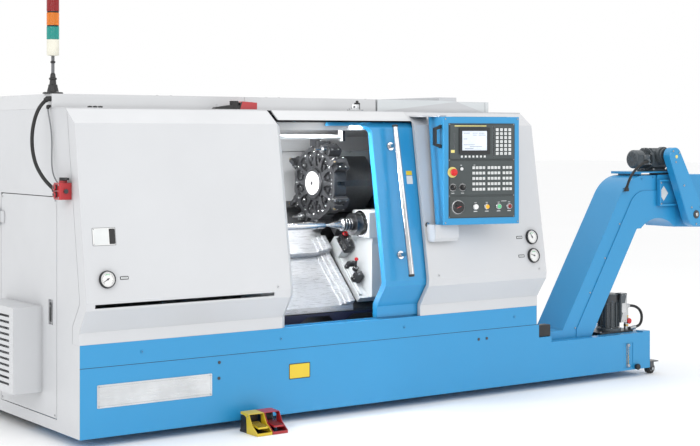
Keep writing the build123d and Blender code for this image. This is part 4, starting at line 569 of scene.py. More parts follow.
def dress_enclosure():
    """Paints of the covers, and the small plates, screws and fittings on them."""
    look(GREY, "front_cover_left", "front_cover_right", "casing", "panel_bracket")
    look(ROOF, "roof_cover")
    look(BLUE, "skirt", "door_panel", "conveyor_head")
    # The chip trough gets the darkened blue: painted shade in the trough.
    look(SHADED_BLUE, "chip_trough")
    look(IRON, "bed", "saddle")
    look(DARK, "levelling_feet")
    look(GLASS, "door_window")
    look(STAINLESS, "way_covers")
    look(CHROME, "door_handle")
    zoned("top_cabinet", LIGHTENED_CAST, [(lambda c, n: 2420 < c.x < 2550, GREY)])
    zoned("interior_liner", INNER, [
        (lambda c, n: c.x < 1126 and c.z < 1553, GREY),
        (lambda c, n: 189 < c.y < 216 and c.z > 1510, HEADER),
        (lambda c, n: 1300.5 < c.x < 1715.5 and abs(c.y - 300) < 13 and c.z < 1490, TUBE),
        (lambda c, n: 1286 <= c.x < 1302 and 283 < c.y < 317 and c.z < 1552, DARK),
        (lambda c, n: 1714 < c.x < 1733 and 279 < c.y < 321 and c.z < 1552, DARK)])
    signs = Piece("cover_plates", "machine", "light_grey_paint")
    place = on_front(113, 1004, 0.05)
    signs.plate(KEYGREY, rounded(122, 85, 4), 0.9, place)
    signs.plate(WHITE, rounded(118, 81, 4), 1.2, place)
    signs.plate(PLASTIC, [(x + 42, y) for x, y in rounded(32, 74, 2)], 1.5, place)
    signs.plate(KEYCAP, [(x - 16, y) for x, y in rounded(74, 74, 3)], 1.5, place)
    signs.bolts(STEEL, grid((-54, 54), (-36, 36), 1.2), OUT, 2.4, 1.4, place)
    for x, z in ((204, 806), (2722, 899), (2724, 793)):
        place = on_front(x, z, 0.05)
        signs.plate(DEEP, rounded(44, 16, 3), 1.0, place)
        signs.plate(KEYCAP, rounded(36, 9, 2), 1.3, place)
        signs.plate(KEYGREY, rounded(26, 2.4, 1), 1.5, place)
    signs.done()
    lock = Piece("cover_lock", "machine", "chrome")
    place = on_front(2062, 993, 0.0)
    lock.turned(PLASTIC, (0, 0, -1), OUT, [(0, 14), (4, 14), (5, 13)], place=place)
    lock.turned(CHROME, (0, 0, 3), OUT, [(0, 10), (5, 10), (6, 9)], place=place)
    lock.block(OILED, -1.2, 1.2, -5, 5, 8.8, 9.4, place)
    for x in (1062, 2110, 2850):
        lock.bolt(GREY, (0, 0, -3), OUT, 6, 4, on_front(x, 715, 3))
    lock.done()
    seam = Piece("skirt_seam", "machine", "black_rubber")
    seam.block(RUBBER, 3, 2918, -0.5, 3, 379.4, 381.6, edge=0.2)
    seam.done()
    plates = Piece("skirt_plates", "machine", "machined_steel")
    place = flat_front(407, 240.5, -0.05)
    plates.plate(ALUMINIUM, rounded(628, 111, 5), 1.6, place)
    plates.plate(STEEL, rounded(612, 95, 4), 1.9, place)
    plates.plate(ALUMINIUM, rounded(606, 89, 3.5), 2.1, place)
    plates.bolts(CHROME, grid((-305, 305), (-47, 47), 1.6), OUT, 4, 2.4, place)
    place = flat_front(1244.5, 262, -0.05)
    plates.plate(PLASTIC, rounded(131, 80, 5), 1.0, place)
    plates.plate(YELLOW, rounded(123, 72, 4), 1.3, place)
    drains = ((763, 347), (761, 268), (2460, 329), (2520, 330))
    plates.flush(OILED, [flat_front(x, z, -0.05) for x, z in drains], 8, 3)
    plates.flush(BLUE, [flat_front(x, 437) for x in (330, 1130, 1930, 2730)], 7, 4)
    plates.done()
    trims = Piece("roof_fittings_and_gap_shadow", "machine", "black_plastic")
    for x in (140, 168, 196):
        trims.block(PLASTIC, x - 9, x + 9, 168, 186, LEDGE_TOP, LEDGE_TOP + 8, edge=2)
        trims.bolt(STEEL, (x, 177, LEDGE_TOP + 8), UP, 4, 3)
    trims.block(STEEL, 1664, 1768, 158, 166, LEDGE_TOP, LEDGE_TOP + 7)
    trims.block(STEEL, 1690, 1742, 160, 164, LEDGE_TOP - 7, LEDGE_TOP + 35)
    trims.block(PLASTIC, 1728, 1752, 166, 190, LEDGE_TOP, LEDGE_TOP + 45, edge=3)
    trims.turned(PLASTIC, (1740, 178, 1663), UP, [(0, 8), (8, 8), (12, 5)], 24)
    trims.bolt(DARK, (1676, 160, LEDGE_TOP + 7), UP, 5, 4)
    trims.bolt(DARK, (1708, 160, LEDGE_TOP + 21), FRONT, 5, 4)
    # A black block at the tank's right end, put where the gap between the right wall and the conveyor lies in
    # shade: painted shadow.
    trims.block(PLASTIC, 2922, 3019, 6, 60, 303.5, 373, edge=6)
    trims.done()
    zoned("interlock_switch", PLASTIC, [(lambda c, n: c.x > 1004, RED)])
    detail = Piece("interlock_screws", "machine", "dark_steel")
    for x, z in ((868, 1640), (1030, 1661 - 18 * 0.066), (1080, 1661 - 68 * 0.066)):
        detail.bolt(STEEL, (x, 206, z), UP, 4, 3)
    detail.done()


def dress_hidden_sides():
    """Panel seams and flush screws of the rear wall, the right end wall and the roof."""
    made = Piece("panel_seams", "machine", "light_grey_paint")
    for x in (730, 1460, 2190):
        made.block(KEYGREY, -1.5, 1.5, 70, 1600, -1, 0.25, on_rear(x, 0), 0.1)
    for x in (40, 385, 700, 760, 1095, 1430, 1490, 1825, 2160, 2220, 2560, 2870):
        for z in (90, 620, 1100, 1580):
            place = on_rear(x, z)
            made.turned(STEEL, (0, 0, -0.6), OUT, [(0, 7), (0.7, 7), (0.75, 6)], 20, place=place)
            made.turned(OILED, (0, 0, -0.3), OUT, [(0, 3), (0.55, 3)], 6, place=place)
    for y in (760, 1120):
        made.block(KEYGREY, RIGHT_WALL - 1, RIGHT_WALL + 0.3, y - 1.5, y + 1.5, 420, 1600, edge=0.1)
    for y in (200, 730, 790, 1090, 1150, 1460):
        made.bolts(STEEL, [(RIGHT_WALL, y, z) for z in (700, 1150, 1580)], RIGHT, 6, 3)
    for x in (640, 1300):
        made.block(KEYGREY, x - 1.5, x + 1.5, 312, 1496, ROOF_TOP - 1, ROOF_TOP + 0.3, edge=0.1)
    roof_screws = grid((40, 600, 680, 1260, 1340, 1920), (350, 900, 1460), ROOF_TOP)
    made.bolts(STEEL, roof_screws, UP, 6, 3)
    cabinet_screws = [(2040, 700, ROOF_TOP), (2340, 700, ROOF_TOP), (2620, 700, ROOF_TOP - 6)]
    made.bolts(STEEL, cabinet_screws, UP, 5, 3)
    made.done()


def dress_service_door():
    """End door and end wall: flush handle and screws."""
    look(GREY, "service_door")
    fit = Piece("service_door_fittings", "service_door", "black_plastic")
    place = on_left(320.5, 621, -0.05)
    fit.plate(PLASTIC, rounded(18, 94, 4), 2.2, place)
    fit.turned(CHROME, (0, 30, 2), OUT, [(0, 5), (3, 5), (4, 4)], 24, place=place)
    fit.block(STEEL, -1, 1, 26, 34, 5.6, 6.3, place)
    corners = ((266, 1166), (270, 124), (924, 1166), (924, 124))
    fit.flush(STEEL, [on_left(y, z) for y, z in corners], 5, 3)
    fit.flush(GREY, [on_left(y, z, -147.9) for y in (437, 868) for z in (230, 428, 625)], 5, 3)
    fit.done()
    screws = Piece("wall_screws", "machine", "machined_steel")
    wall = ((1100, 1500), (1100, 900), (1100, 300), (1420, 1500), (1420, 300))
    screws.flush(STEEL, [on_left(y, z) for y, z in wall], 6, 4)
    screws.flush(STEEL, [on_left(985, z, -4) for z in (260, 322, 1030, 1092)], 4, 3)
    screws.done()


def dress_gauges():
    """Pressure gauges: black case, chrome bezel, white dial with ticks and needle."""
    made = Piece("pressure_gauges_built", "machine", "chrome", ["pressure_gauges"])
    for x, z, turn in ((113, 803, 210), (2812, 898, 120), (2813, 792, 160)):
        place = on_front(x, z, 0.3)
        made.turned(PLASTIC, (0, 0, 0), OUT, [(0, 42), (6, 42), (6.2, 40)], 64, place=place)
        bezel = [(0, 41), (7, 41), (10, 39), (10, 37.4), (1, 37.4)]
        made.turned(DEEP, (0, 0, 6), OUT, bezel, 64, place=place)
        rim = [(-1, 37.4), (2.4, 37.4), (2.4, 36), (-1, 35.2)]
        made.turned(CHROME, (0, 0, 8), OUT, rim, 64, place=place)
        made.turned(WHITE, (0, 0, 8), OUT, [(0, 35.5), (1.6, 35.5)], 64, place=place)
        for k in range(28):
            long = 7 if k % 4 == 0 else 4
            made.block(PLASTIC, 31 - long, 31, -0.5, 0.5, 9.5, 9.9, place @ spun(225 - k * 10, "Z"), 0.1)
        angles = [math.radians(a) for a in range(60, 121, 6)]
        points = [(24 * math.cos(a), 24 * math.sin(a)) for a in angles]
        points += [(21 * math.cos(a), 21 * math.sin(a)) for a in reversed(angles)]
        # The green band uses the glowing cap material, so this printed band carries a faint painted glow.
        made.plate(GREENCAP, points, 0.3, place @ Matrix.Translation((0, 0, 9.5)))
        needle = place @ spun(turn, "Z") @ Matrix.Translation((0, 0, 10.6))
        made.plate(DEEP, [(-9, -2.2), (27, -0.7), (27, 0.7), (-9, 2.2)], 0.8, needle)
        made.turned(OILED, (0, 0, 9.6), OUT, [(0, 4), (2.4, 4), (2.8, 3)], 24, place=place)
    made.done()


def dress_tower():
    """Signal tower: fluted foot, knuckle, pole, white module, ribbed lenses."""
    x, y, z = 29, 360, 1688.3
    made = Piece("signal_tower_built", "machine", "black_plastic", ["signal_tower"])
    made.turned(PLASTIC, (x, y, z), UP, [(0, 50), (5, 50), (8, 46), (9, 30)], 48)
    made.turned(PLASTIC, (x, y, z + 8), UP, [(0, 28), (8, 27), (30, 22), (36, 22), (38, 19)], 48, 12, 0.03)
    knuckle = [(0, 19), (2, 17), (24, 15), (26, 19), (34, 19), (36, 14), (52, 12), (58, 9)]
    made.turned(PLASTIC, (x, y, z + 44), UP, knuckle, 40)
    made.turned(DARK, (x, y, z + 100), UP, [(0, 8), (88, 8)], 28)
    made.turned(PLASTIC, (x, y, z + 150), UP, [(0, 8), (2, 12), (10, 12), (12, 8)], 28)
    made.turned(IVORY, (x, y, z + 186), UP, [(0, 10), (3, 28), (6, 30), (78, 30), (81, 29), (82, 20)], 56)
    made.turned(PLASTIC, (x, y, z + 266), UP, [(0, 14), (206, 14)], 24)
    for k in range(3):
        low = z + 268.3 + k * 68.3
        made.turned(PLASTIC, (x, y, low + 62), UP, [(0, 27), (0.5, 29), (5.5, 29), (6, 27)], 56)
    made.bolts(STEEL, [(x + dx, y + dy, z + 7) for dx, dy in clock(3, 38, 40)], UP, 4, 3)
    made.done()
    rings = Piece("tower_lenses_built", "machine", "lens_plastic", ["tower_lenses"])
    for k in range(3):
        low = z + 268.3 + k * 68.3
        profile = [(0, 29.5), (1, 31)]
        for rib in range(9):
            profile += [(4 + rib * 6.4, 31), (6.4 + rib * 6.4, 30.2), (8 + rib * 6.4, 31)]
        rings.turned(LENSES[k], (x, y, low), UP, profile + [(60.7, 31), (61.7, 29.5)], 56)
    rings.done()


def dress_power_box():
    """Main switch: red box with bolted lid, round sockets and the black lever."""
    zoned("power_box", RED, [
        (lambda c, n: c.x < -62.5, OILED),
        (lambda c, n: c.z > 1258.5 and n.z > 0.5, OILED),
        (lambda c, n: c.y > 154.5, PLASTIC),
        (lambda c, n: c.y < 79.5, OILED)])
    made = Piece("power_box_fittings", "machine", "black_plastic")
    for z in (1202, 1236):
        made.turned(RED, (-70, 120, z), LEFT, [(0, 14), (5, 14), (6, 12)], 32, 8, 0.06)
        made.turned(OILED, (-75.8, 120, z), LEFT, [(0, 8), (0.6, 8)], 24)
    made.bolts(STEEL, [(-62, y, z) for y in (92, 144) for z in (1188, 1248)], LEFT, 3.6, 2.6)
    made.done()
    look(PLASTIC, "power_lever", "cable_glands")
    nuts = Piece("gland_nuts", "machine", "black_plastic")
    main, signal = CORDS["main_cable"][0], CORDS["signal_cable"][0]
    for start, toward, radius in ((main[0], main[1], 13), (signal[0], signal[1], 7.5),
                                  (main[-1], main[-2], 13), (signal[-1], signal[-2], 6.5)):
        axis = (Vector(start) - Vector(toward)).normalized()
        profile = [(0, radius - 2), (1, radius + 1), (9, radius + 1), (10, radius)]
        nuts.turned(PLASTIC, Vector(start) + axis * 0.2, axis, profile, 6)
        nuts.turned(RUBBER, Vector(start) - axis * 5, axis, [(0, radius - 3.2), (5.4, radius - 2.4)], 28)
    nuts.done()


# Door

def dress_door():
    """Door: screws of the window's frame and the handle, guide stop and a plain plate."""
    made = Piece("door_fittings", "door", "machined_steel")
    for z in (840, 1428):
        made.bolts(CHROME, [(-15, 0, 7), (15, 0, 7)], OUT, 4, 3, on_front(1877, z, -28))
    frames = [on_front(x, z, -28) for x in (2075, 2250, 2425, 2610) for z in (788, 1472)]
    made.flush(DARK, frames, 5, 3)
    place = on_front(1990, 1252, -27.95)
    made.plate(YELLOW, [(x, y + 30) for x, y in rounded(40, 24, 2)], 1.0, place)
    made.plate(KEYCAP, [(x, y - 8) for x, y in rounded(40, 46, 2)], 1.0, place)
    made.turned(PLASTIC, (1510, 150, 1545), FRONT, [(0, 9), (10, 9), (12, 7)], 24)
    made.done()
    caps = Piece("handle_caps", "door", "chrome")
    for z, out, side in ((722, 56, -1), (1532, 34, 1)):
        caps.turned(PLASTIC, (0, -side * 8, 0), (0, side, 0), [(0, 16.4), (10, 16.4), (13, 13)], 40,
                    place=on_front(1877, z, out))
    caps.done()


# Work space

def dress_work_space():
    """Spindle, chuck, bar, live centre and tailstock."""
    # The casting grey is lightened beyond its own colour: partly painted light on the tailstock.
    look(LIGHTENED_CAST, "headstock", "tailstock_body")
    zoned("spindle_chuck", OILED, [
        (lambda c, n: c.x > 1285 or abs(c.x - 1237) < 4, STEEL),
        (lambda c, n: c.x < 1190, STEEL)])
    look(TURNED, "workpiece_bar")
    look(STEEL, "chuck_jaw_1", "chuck_jaw_2", "chuck_jaw_3")
    zoned("quill", STEEL, [(lambda c, n: c.x < 1838, DARK)])
    zoned("live_centre", STEEL, [(lambda c, n: 1725 < c.x < 1790 and (c.yz - SPINDLE.yz).length > 30, OILED)])
    look(OILED, "clamp_lever")
    made = Piece("tailstock_details", "tailstock", "machined_steel")
    made.bolts(OILED, [(x, 216, z) for z in (1052, 936) for x in (1925, 2120)], FRONT, 6, 3)
    collar = [(0, 64.5), (0, 74), (3, 74), (4, 72), (4, 64.5)]
    made.turned(CHROME, (1850, 300, 990), LEFT, collar, 64, ring=True)
    off_slope = Vector((0, -DIAGONAL, DIAGONAL))
    for s in (-290, -230, -170, -110):
        spot = SPINDLE + Vector((0, s * DIAGONAL + 256 * DIAGONAL, s * DIAGONAL - 256 * DIAGONAL))
        made.bolt(STEEL, (1822, spot.y, spot.z), off_slope, 6, 6)
    made.done()
    clamps = Piece("tailstock_clamps", "tailstock", "dark_steel")
    for low, high, tall in ((-42, 62, -152), (-218, -182, -196), (-118, -94, -206)):
        base = -198.4 if low > -50 else -256.4
        clamps.block(OILED, 1816, 1866, low, high, base, tall, SLOPE, 3)
        clamps.block(DARK, 1821, 1861, low + 4, high - 4, tall, tall + 7, SLOPE, 2)
        for y in (low + 10, high - 10):
            clamps.bolt(STEEL, (1832, y, tall + 7), OUT, 5, 5, SLOPE)
            clamps.bolt(STEEL, (1816, y, (base + tall) / 2), LEFT, 5, 4, SLOPE)
    clamps.block(STEEL, 1808, 1816.5, -30, 50, -190, -168, SLOPE, 2)
    clamps.block(STOPRED, 1826, 1856, 38, 60, -145, -126, SLOPE, 3)
    stud = [(0, 15), (4, 15), (6, 12), (18, 12), (20, 9)]
    clamps.turned(STEEL, (1841, 10, -146), OUT, stud, 32, place=SLOPE)
    clamps.done()
    ball = Piece("clamp_knob", "clamp_lever", "black_plastic")
    hub = Vector((1846, 349.5, 728.4)) + off_slope * 0.3
    ball.turned(STEEL, hub, off_slope, [(0, 17), (3, 17), (5, 14), (20, 14), (22.5, 11)], 36)
    tip = Vector((1838, 349.5 - 42.4 + 14, 728.4 + 42.4 + 20))
    ball.turned(STOPRED, tip - Vector((0, -3, 9)), (0, -0.3, 0.95),
                [(0, 3), (2, 7), (6, 10.4), (10, 11.2), (14, 10.2), (18, 7), (20, 3)], 32)
    ball.done()
    sleeve = Piece("live_centre_rings", "live_centre", "machined_steel")
    for x in (1732, 1752, 1770):
        sleeve.turned(STEEL, (x, 300, 990), RIGHT, [(0, 36.2), (0.6, 37), (3, 37), (3.6, 36.2)], 56)
    sleeve.done()


def around_turret(step):
    """A frame at a station: local x away from the disc's face, z outwards, y along the flat."""
    return Matrix.Translation(TURRET) @ spun(step * 30, "X")


def dress_turret():
    """Turret: dark disc, white hub ring with marks, pocket screws, wedges, coated inserts."""
    zoned("turret_disc", OILED, [
        (lambda c, n: c.x < 1689.5 and (c.yz - TURRET.yz).length < 90, DARK),
        (lambda c, n: 1769 < c.x < 1770.5, DARK)])
    made = Piece("turret_details", "turret", "machined_steel")
    for k in range(12):
        place = around_turret(k)
        made.block(DEEP, -17.7, -17.1, -2.0, 2.0, 40, 56, place, 0.3)
        made.bolt(STEEL, (-17.2, 0, 27), LEFT, 3.4, 1.6, place)
        half = around_turret(k + 0.5)
        made.bolts(STEEL, [(13, -20, 158), (13, 20, 158)], LEFT, 6, 5, half)
        made.bolt(DARK, (14, 0, 118), LEFT, 9, 7, half)
        made.block(DARK, 2, 14, -12, 12, 128, 146, half, 2)
        made.turned(STEEL, (0, 0, 176), LEFT, [(-2, 6), (4, 6), (6, 4)], 20, place=place)
    rim = [(0, 83), (1, 84.5), (1.5, 84), (1.5, 68)]
    made.turned(DARK, TURRET + Vector((-9.9, 0, 0)), LEFT, rim, 64)
    made.turned(WHITE, TURRET + Vector((-9.9, 0, 0)), LEFT, [(0, 66), (5.4, 66), (7.3, 64)], 72)
    made.turned(OILED, TURRET + Vector((-16.9, 0, 0)), LEFT, [(0, 11), (1.2, 11), (2, 9)], 40)
    made.done()
    tools = Piece("tool_details", "turret", "dark_steel")
    for k in (0, 1, 2, 4, 6, 7, 8, 10):
        place = around_turret(k)
        tools.bolts(STEEL, grid((24, 66), (-29, 29), 238), OUT, 5.5, 4.5, place)
        if k % 2 == 0:
            tools.block(GOLD, -20.6, -9, -11.6, -2, 254, 262.4, place, 1)
            tools.bolt(DARK, (-15, -11.6, 258), FRONT, 2.2, 1.2, place)
            tools.block(STEEL, -6, 3.6, 12, 30, 206, 234, place, 2)
            tools.bolts(DARK, [(-6, 21, 212), (-6, 21, 228)], LEFT, 5, 4, place)
        else:
            rim = [(0, 19), (2, 19), (3, 17), (3, 11)]
            tools.turned(STEEL, (-26.4, 0, 222.3), LEFT, rim, 36, place=place)
            tools.block(GOLD, -71, -64, -1.4, 8, 218, 222.8, place, 0.6)
    tools.done()
    zoned("tool_holders", OILED, [
        (lambda c, n: c.x < 1668, STEEL), (lambda c, n: abs(n.x) < 0.3 and c.x < 1676, STEEL)])
    zoned("cross_slide", IRON, [(lambda c, n: 1841 < c.x < 2343 and c.y > 529 and c.z > 1190 and
                                 (c.y < 620 or c.z > 1396), SLIDE)])
    plate = Piece("slide_cover_plate", "cross_slide", "casting_grey")
    up, out = Vector((0, 0.516, 0.857)), Vector((0, -0.857, 0.516))
    spot = Vector((1932, 555.1, 1322)) + out * 0.2
    place = facing(RIGHT, up, out, spot)
    plate.plate(KEYCAP, rounded(58, 38, 3), 0.8, place)
    plate.bolts(STEEL, grid((-52, 360), (-18, 50)), OUT, 5, 3, place)
    plate.done()


# Control panel

PLATE_LEFT, PLATE_WIDE, PLATE_FOOT, PLATE_TALL = 8, 408, 1032, 518
STEP_1, STEP_2 = FACE - 3.2, FACE - 6.2


def share_x(share):
    """A share of the panel plate's width as a panel place."""
    return PLATE_LEFT + PLATE_WIDE * share


def share_z(share):
    """A share of the panel plate's height as a panel place."""
    return PLATE_FOOT + PLATE_TALL * share


KNOB_Z, BUTTON_Z = share_z(0.325), share_z(0.118)
FEED_X, SPEED_X, WHEEL_X = share_x(0.062), share_x(0.205), share_x(0.135)
STOP_X, STOP_Z = share_x(0.055), share_z(0.485)


def panel_zone(depth, left, right, foot, head):
    """A test for the faces of the plate in front of a depth and between shares of its size."""
    back = PANEL.inverted()
    x0, x1, z0, z1 = share_x(left), share_x(right), share_z(foot), share_z(head)

    def inside(centre, normal):
        spot = back @ centre
        return spot.y < depth and x0 < spot.x < x1 and z0 < spot.z < z1
    return inside


def dress_panel():
    """Control panel: display with picture, key fields, labels, lamps and collars."""
    look(BLUE, "panel_housing")
    look(PLASTIC, "panel_grip")
    zoned("panel_face", CHARCOAL, [
        (panel_zone(STEP_1, 0.34, 0.96, 0.27, 0.57), KEYCAP),
        (panel_zone(STEP_2, 0.685, 0.95, 0.655, 0.96), KEYCAP),
        (panel_zone(STEP_2, 0.15, 0.57, -9, 0.668), KEYCAP),
        (panel_zone(STEP_2, 0.14, 0.62, -9, 9), DEEP),
        (panel_zone(STEP_1, 0.3, 9, -9, 0.2), CHROME),
        (panel_zone(STEP_1, -9, 9, 0.5, 0.55), CHROME)])
    made = Piece("panel_face_details", "control_panel", "dark_grey_plastic")

    def bar(paint_of, x0, x1, z0, z1, out, deep=0.6):
        made.block(paint_of, x0, x1, FACE - out - deep, FACE - out, z0, z1, PANEL, 0.15)

    def strip(paint_of, left, right, foot, head, out, deep=0.6):
        bar(paint_of, share_x(left), share_x(right), share_z(foot), share_z(head), out, deep)

    strip(SCREEN, 0.195, 0.565, 0.715, 0.92, 9, 0.8)
    x0, wide = share_x(0.195), PLATE_WIDE * 0.37
    z0, tall = share_z(0.715), PLATE_TALL * 0.205
    for row, a, b in ((0.9, 0.05, 0.30), (0.9, 0.42, 0.62), (0.9, 0.66, 0.9), (0.8, 0.42, 0.58),
                      (0.8, 0.66, 0.95), (0.6, 0.05, 0.2), (0.3, 0.05, 0.5), (0.2, 0.3, 0.8),
                      (0.1, 0.1, 0.45)):
        z = z0 + row * tall
        bar(SCREENMARK, x0 + a * wide, x0 + b * wide, z - 2.4, z, 9.8, 0.15)
    strip(SCREENMARK, 0.2, 0.56, 0.728, 0.7295, 9.8, 0.15)
    strip(COLLAR, 0.085, 0.56, 0.968, 0.978, 6)
    strip(COLLAR, 0.03, 0.085, 0.69, 0.72, 6)
    strip(OILED, 0.075, 0.085, 0.74, 0.9, 6, 0.3)
    strip(DEEP, 0.66, 0.675, 0.64, 0.97, 6, 0.4)
    for column in range(4):
        for row in range(7):
            x = share_x(0.69 + 0.255 * (column + 0.5) / 4)
            z = share_z(0.66 + 0.295 * (row + 0.5) / 7)
            bar(KEYGREY, x - 3, x + 2, z - 0.8, z + 0.8, 10, 0.12)
    width = (share_x(0.955) - share_x(0.345)) / 12
    for column in range(11):
        shift = (column >= 4) * 0.5 + (column >= 8) * 0.5
        x = share_x(0.345) + (column + 0.5 + shift) * width
        for row in range(5):
            z = share_z(0.275 + 0.285 * (row + 0.5) / 5)
            bar(KEYGREY, x - 3.4, x + 3.4, z - 0.7, z + 0.5, 7, 0.12)
            if (column + row) % 5 == 0:
                bar(GREENCAP, x + 3, x + 5, z + 4, z + 6, 7, 0.15)
    for share, paint_of in ((0.40, WHITE), (0.57, AMBERCAP), (0.75, GREENCAP), (0.91, WINECAP)):
        x, z = share_x(share), BUTTON_Z
        made.dial(CHROME, x, z, 3, [(0, 17), (4, 17), (6, 15), (9, 14.6)], 40)
        made.dial(paint_of, x, z, 12, [(0, 12), (2, 11.6), (3, 9), (3.4, 5)], 36)
        bar(KEYCAP, x - 11, x + 11, z - 27, z - 23, 3, 0.3)
        bar(KEYCAP, x - 7, x + 7, z + 22, z + 24.5, 3, 0.3)
    strip(KEYCAP, 0.79, 0.87, 0.172, 0.177, 3, 0.3)
    knob_marks = [225 - k * 270 / 10 for k in range(11)]
    wheel_marks = [k * 9 for k in range(40)]
    for cx, cz, reach, marks in ((FEED_X, KNOB_Z, 21, knob_marks), (SPEED_X, KNOB_Z, 21, knob_marks),
                                 (WHEEL_X, BUTTON_Z, 39, wheel_marks)):
        for mark in marks:
            spot = PANEL @ Matrix.Translation((cx, FACE - 3, cz)) @ spun(-mark, "Y")
            made.block(KEYCAP, reach, reach + 3.4, -0.3, 0, -0.45, 0.45, spot, 0.1)
    for cx in (FEED_X, SPEED_X):
        made.dial(ALUMINIUM, cx, KNOB_Z, 3, [(0, 20.4), (0.3, 20.4)], 48)
        bar(KEYCAP, cx - 9, cx + 9, share_z(0.262), share_z(0.268), 3, 0.3)
    made.dial(COLLAR, STOP_X, STOP_Z, 3, [(0, 29), (1.2, 29), (1.4, 27)], 48)
    for x in (share_x(0.015), share_x(0.985)):
        for z in (share_z(0.012), share_z(0.235), share_z(0.615), share_z(0.988)):
            made.bolt(STEEL, (x, FACE + 1, z), FRONT, 3.2, 2, PANEL)
    z = share_z(0.51)
    for x in (share_x(0.09), share_x(0.29)):
        bar(KEYCAP, x + 34, x + 44, z + 24, z + 27, 3, 0.3)
    made.done()
    stop = Piece("emergency_stop_built", "emergency_stop", "red_plastic", ["emergency_stop"])
    x, z = STOP_X, STOP_Z
    stop.dial(CHROME, x, z, 8.5, [(0, 9), (11, 9)], 28)
    mushroom = [(0, 15), (1.5, 19.4), (9, 20), (13, 17.5), (15.4, 11), (16, 5)]
    stop.dial(STOPRED, x, z, 18, mushroom, 48, 24, 0.012)
    stop.turned(OILED, (x, FACE - 9.5, z), REAR, [(0, 7), (35.5, 7)], 24, place=PANEL)
    stop.done()
    z = KNOB_Z
    for name, x in (("feed_knob", FEED_X), ("speed_knob", SPEED_X)):
        knob = Piece(name + "_built", name, "black_plastic", [name])
        knob.dial(PLASTIC, x, z, 3.3, [(0, 16.4), (1, 17), (7, 17), (9, 15)], 48)
        knob.dial(PLASTIC, x, z, 12, [(0, 12.4), (10, 11.6), (12, 10), (12.4, 6)], 72, 18, 0.05)
        knob.block(KEYCAP, x - 0.8, x + 0.8, FACE - 25, FACE - 24.2, z + 1, z + 10, PANEL, 0.2)
        knob.block(KEYCAP, x - 0.9, x + 0.9, FACE - 12.6, FACE - 12, z + 12, z + 16, PANEL, 0.2)
        knob.turned(OILED, (x, FACE - 9, z), REAR, [(0, 7), (35, 7)], 24, place=PANEL)
        knob.done()
    wheel = Piece("handwheel_built", "handwheel", "black_plastic", ["handwheel"])
    x, z = WHEEL_X, BUTTON_Z
    wheel.dial(ALUMINIUM, x, z, 3.3, [(0, 36), (0.8, 37), (3, 37), (4.4, 34)], 72)
    grip = [(0, 33), (3, 34), (9, 32), (13, 28), (14, 26), (12, 18), (12, 6)]
    wheel.dial(PLASTIC, x, z, 8, grip, 96, 32, 0.015)
    spin = PANEL @ Matrix.Translation((x, 0, z)) @ spun(-20, "Y")
    wheel.block(STOPRED, -14, 14, FACE - 21, FACE - 20, -1.6, 1.6, spin, 0.3)
    wheel.dial(PLASTIC, x - 16, z + 12, 20, [(0, 5), (3, 7), (17, 6.4), (20, 4)], 28)
    wheel.turned(OILED, (x, FACE - 9, z), REAR, [(0, 7), (35, 7)], 24, place=PANEL)
    wheel.done()
    edge = Piece("panel_housing_details", "control_panel", "blue_paint")
    edge.bolts(STEEL, [(x, FACE, z) for x in (-10, 434) for z in (1008, 1574)], FRONT, 4, 2.6, PANEL)
    edge.bolts(STEEL, [(-22.3, -53, z) for z in (1418, 1536)], LEFT, 5, 3, PANEL)
    edge.block(PLASTIC, 60, 380, -60, 20, 1586, 1587.4, PANEL, 0.4)
    edge.done()


# Coolant tank, conveyor and pump

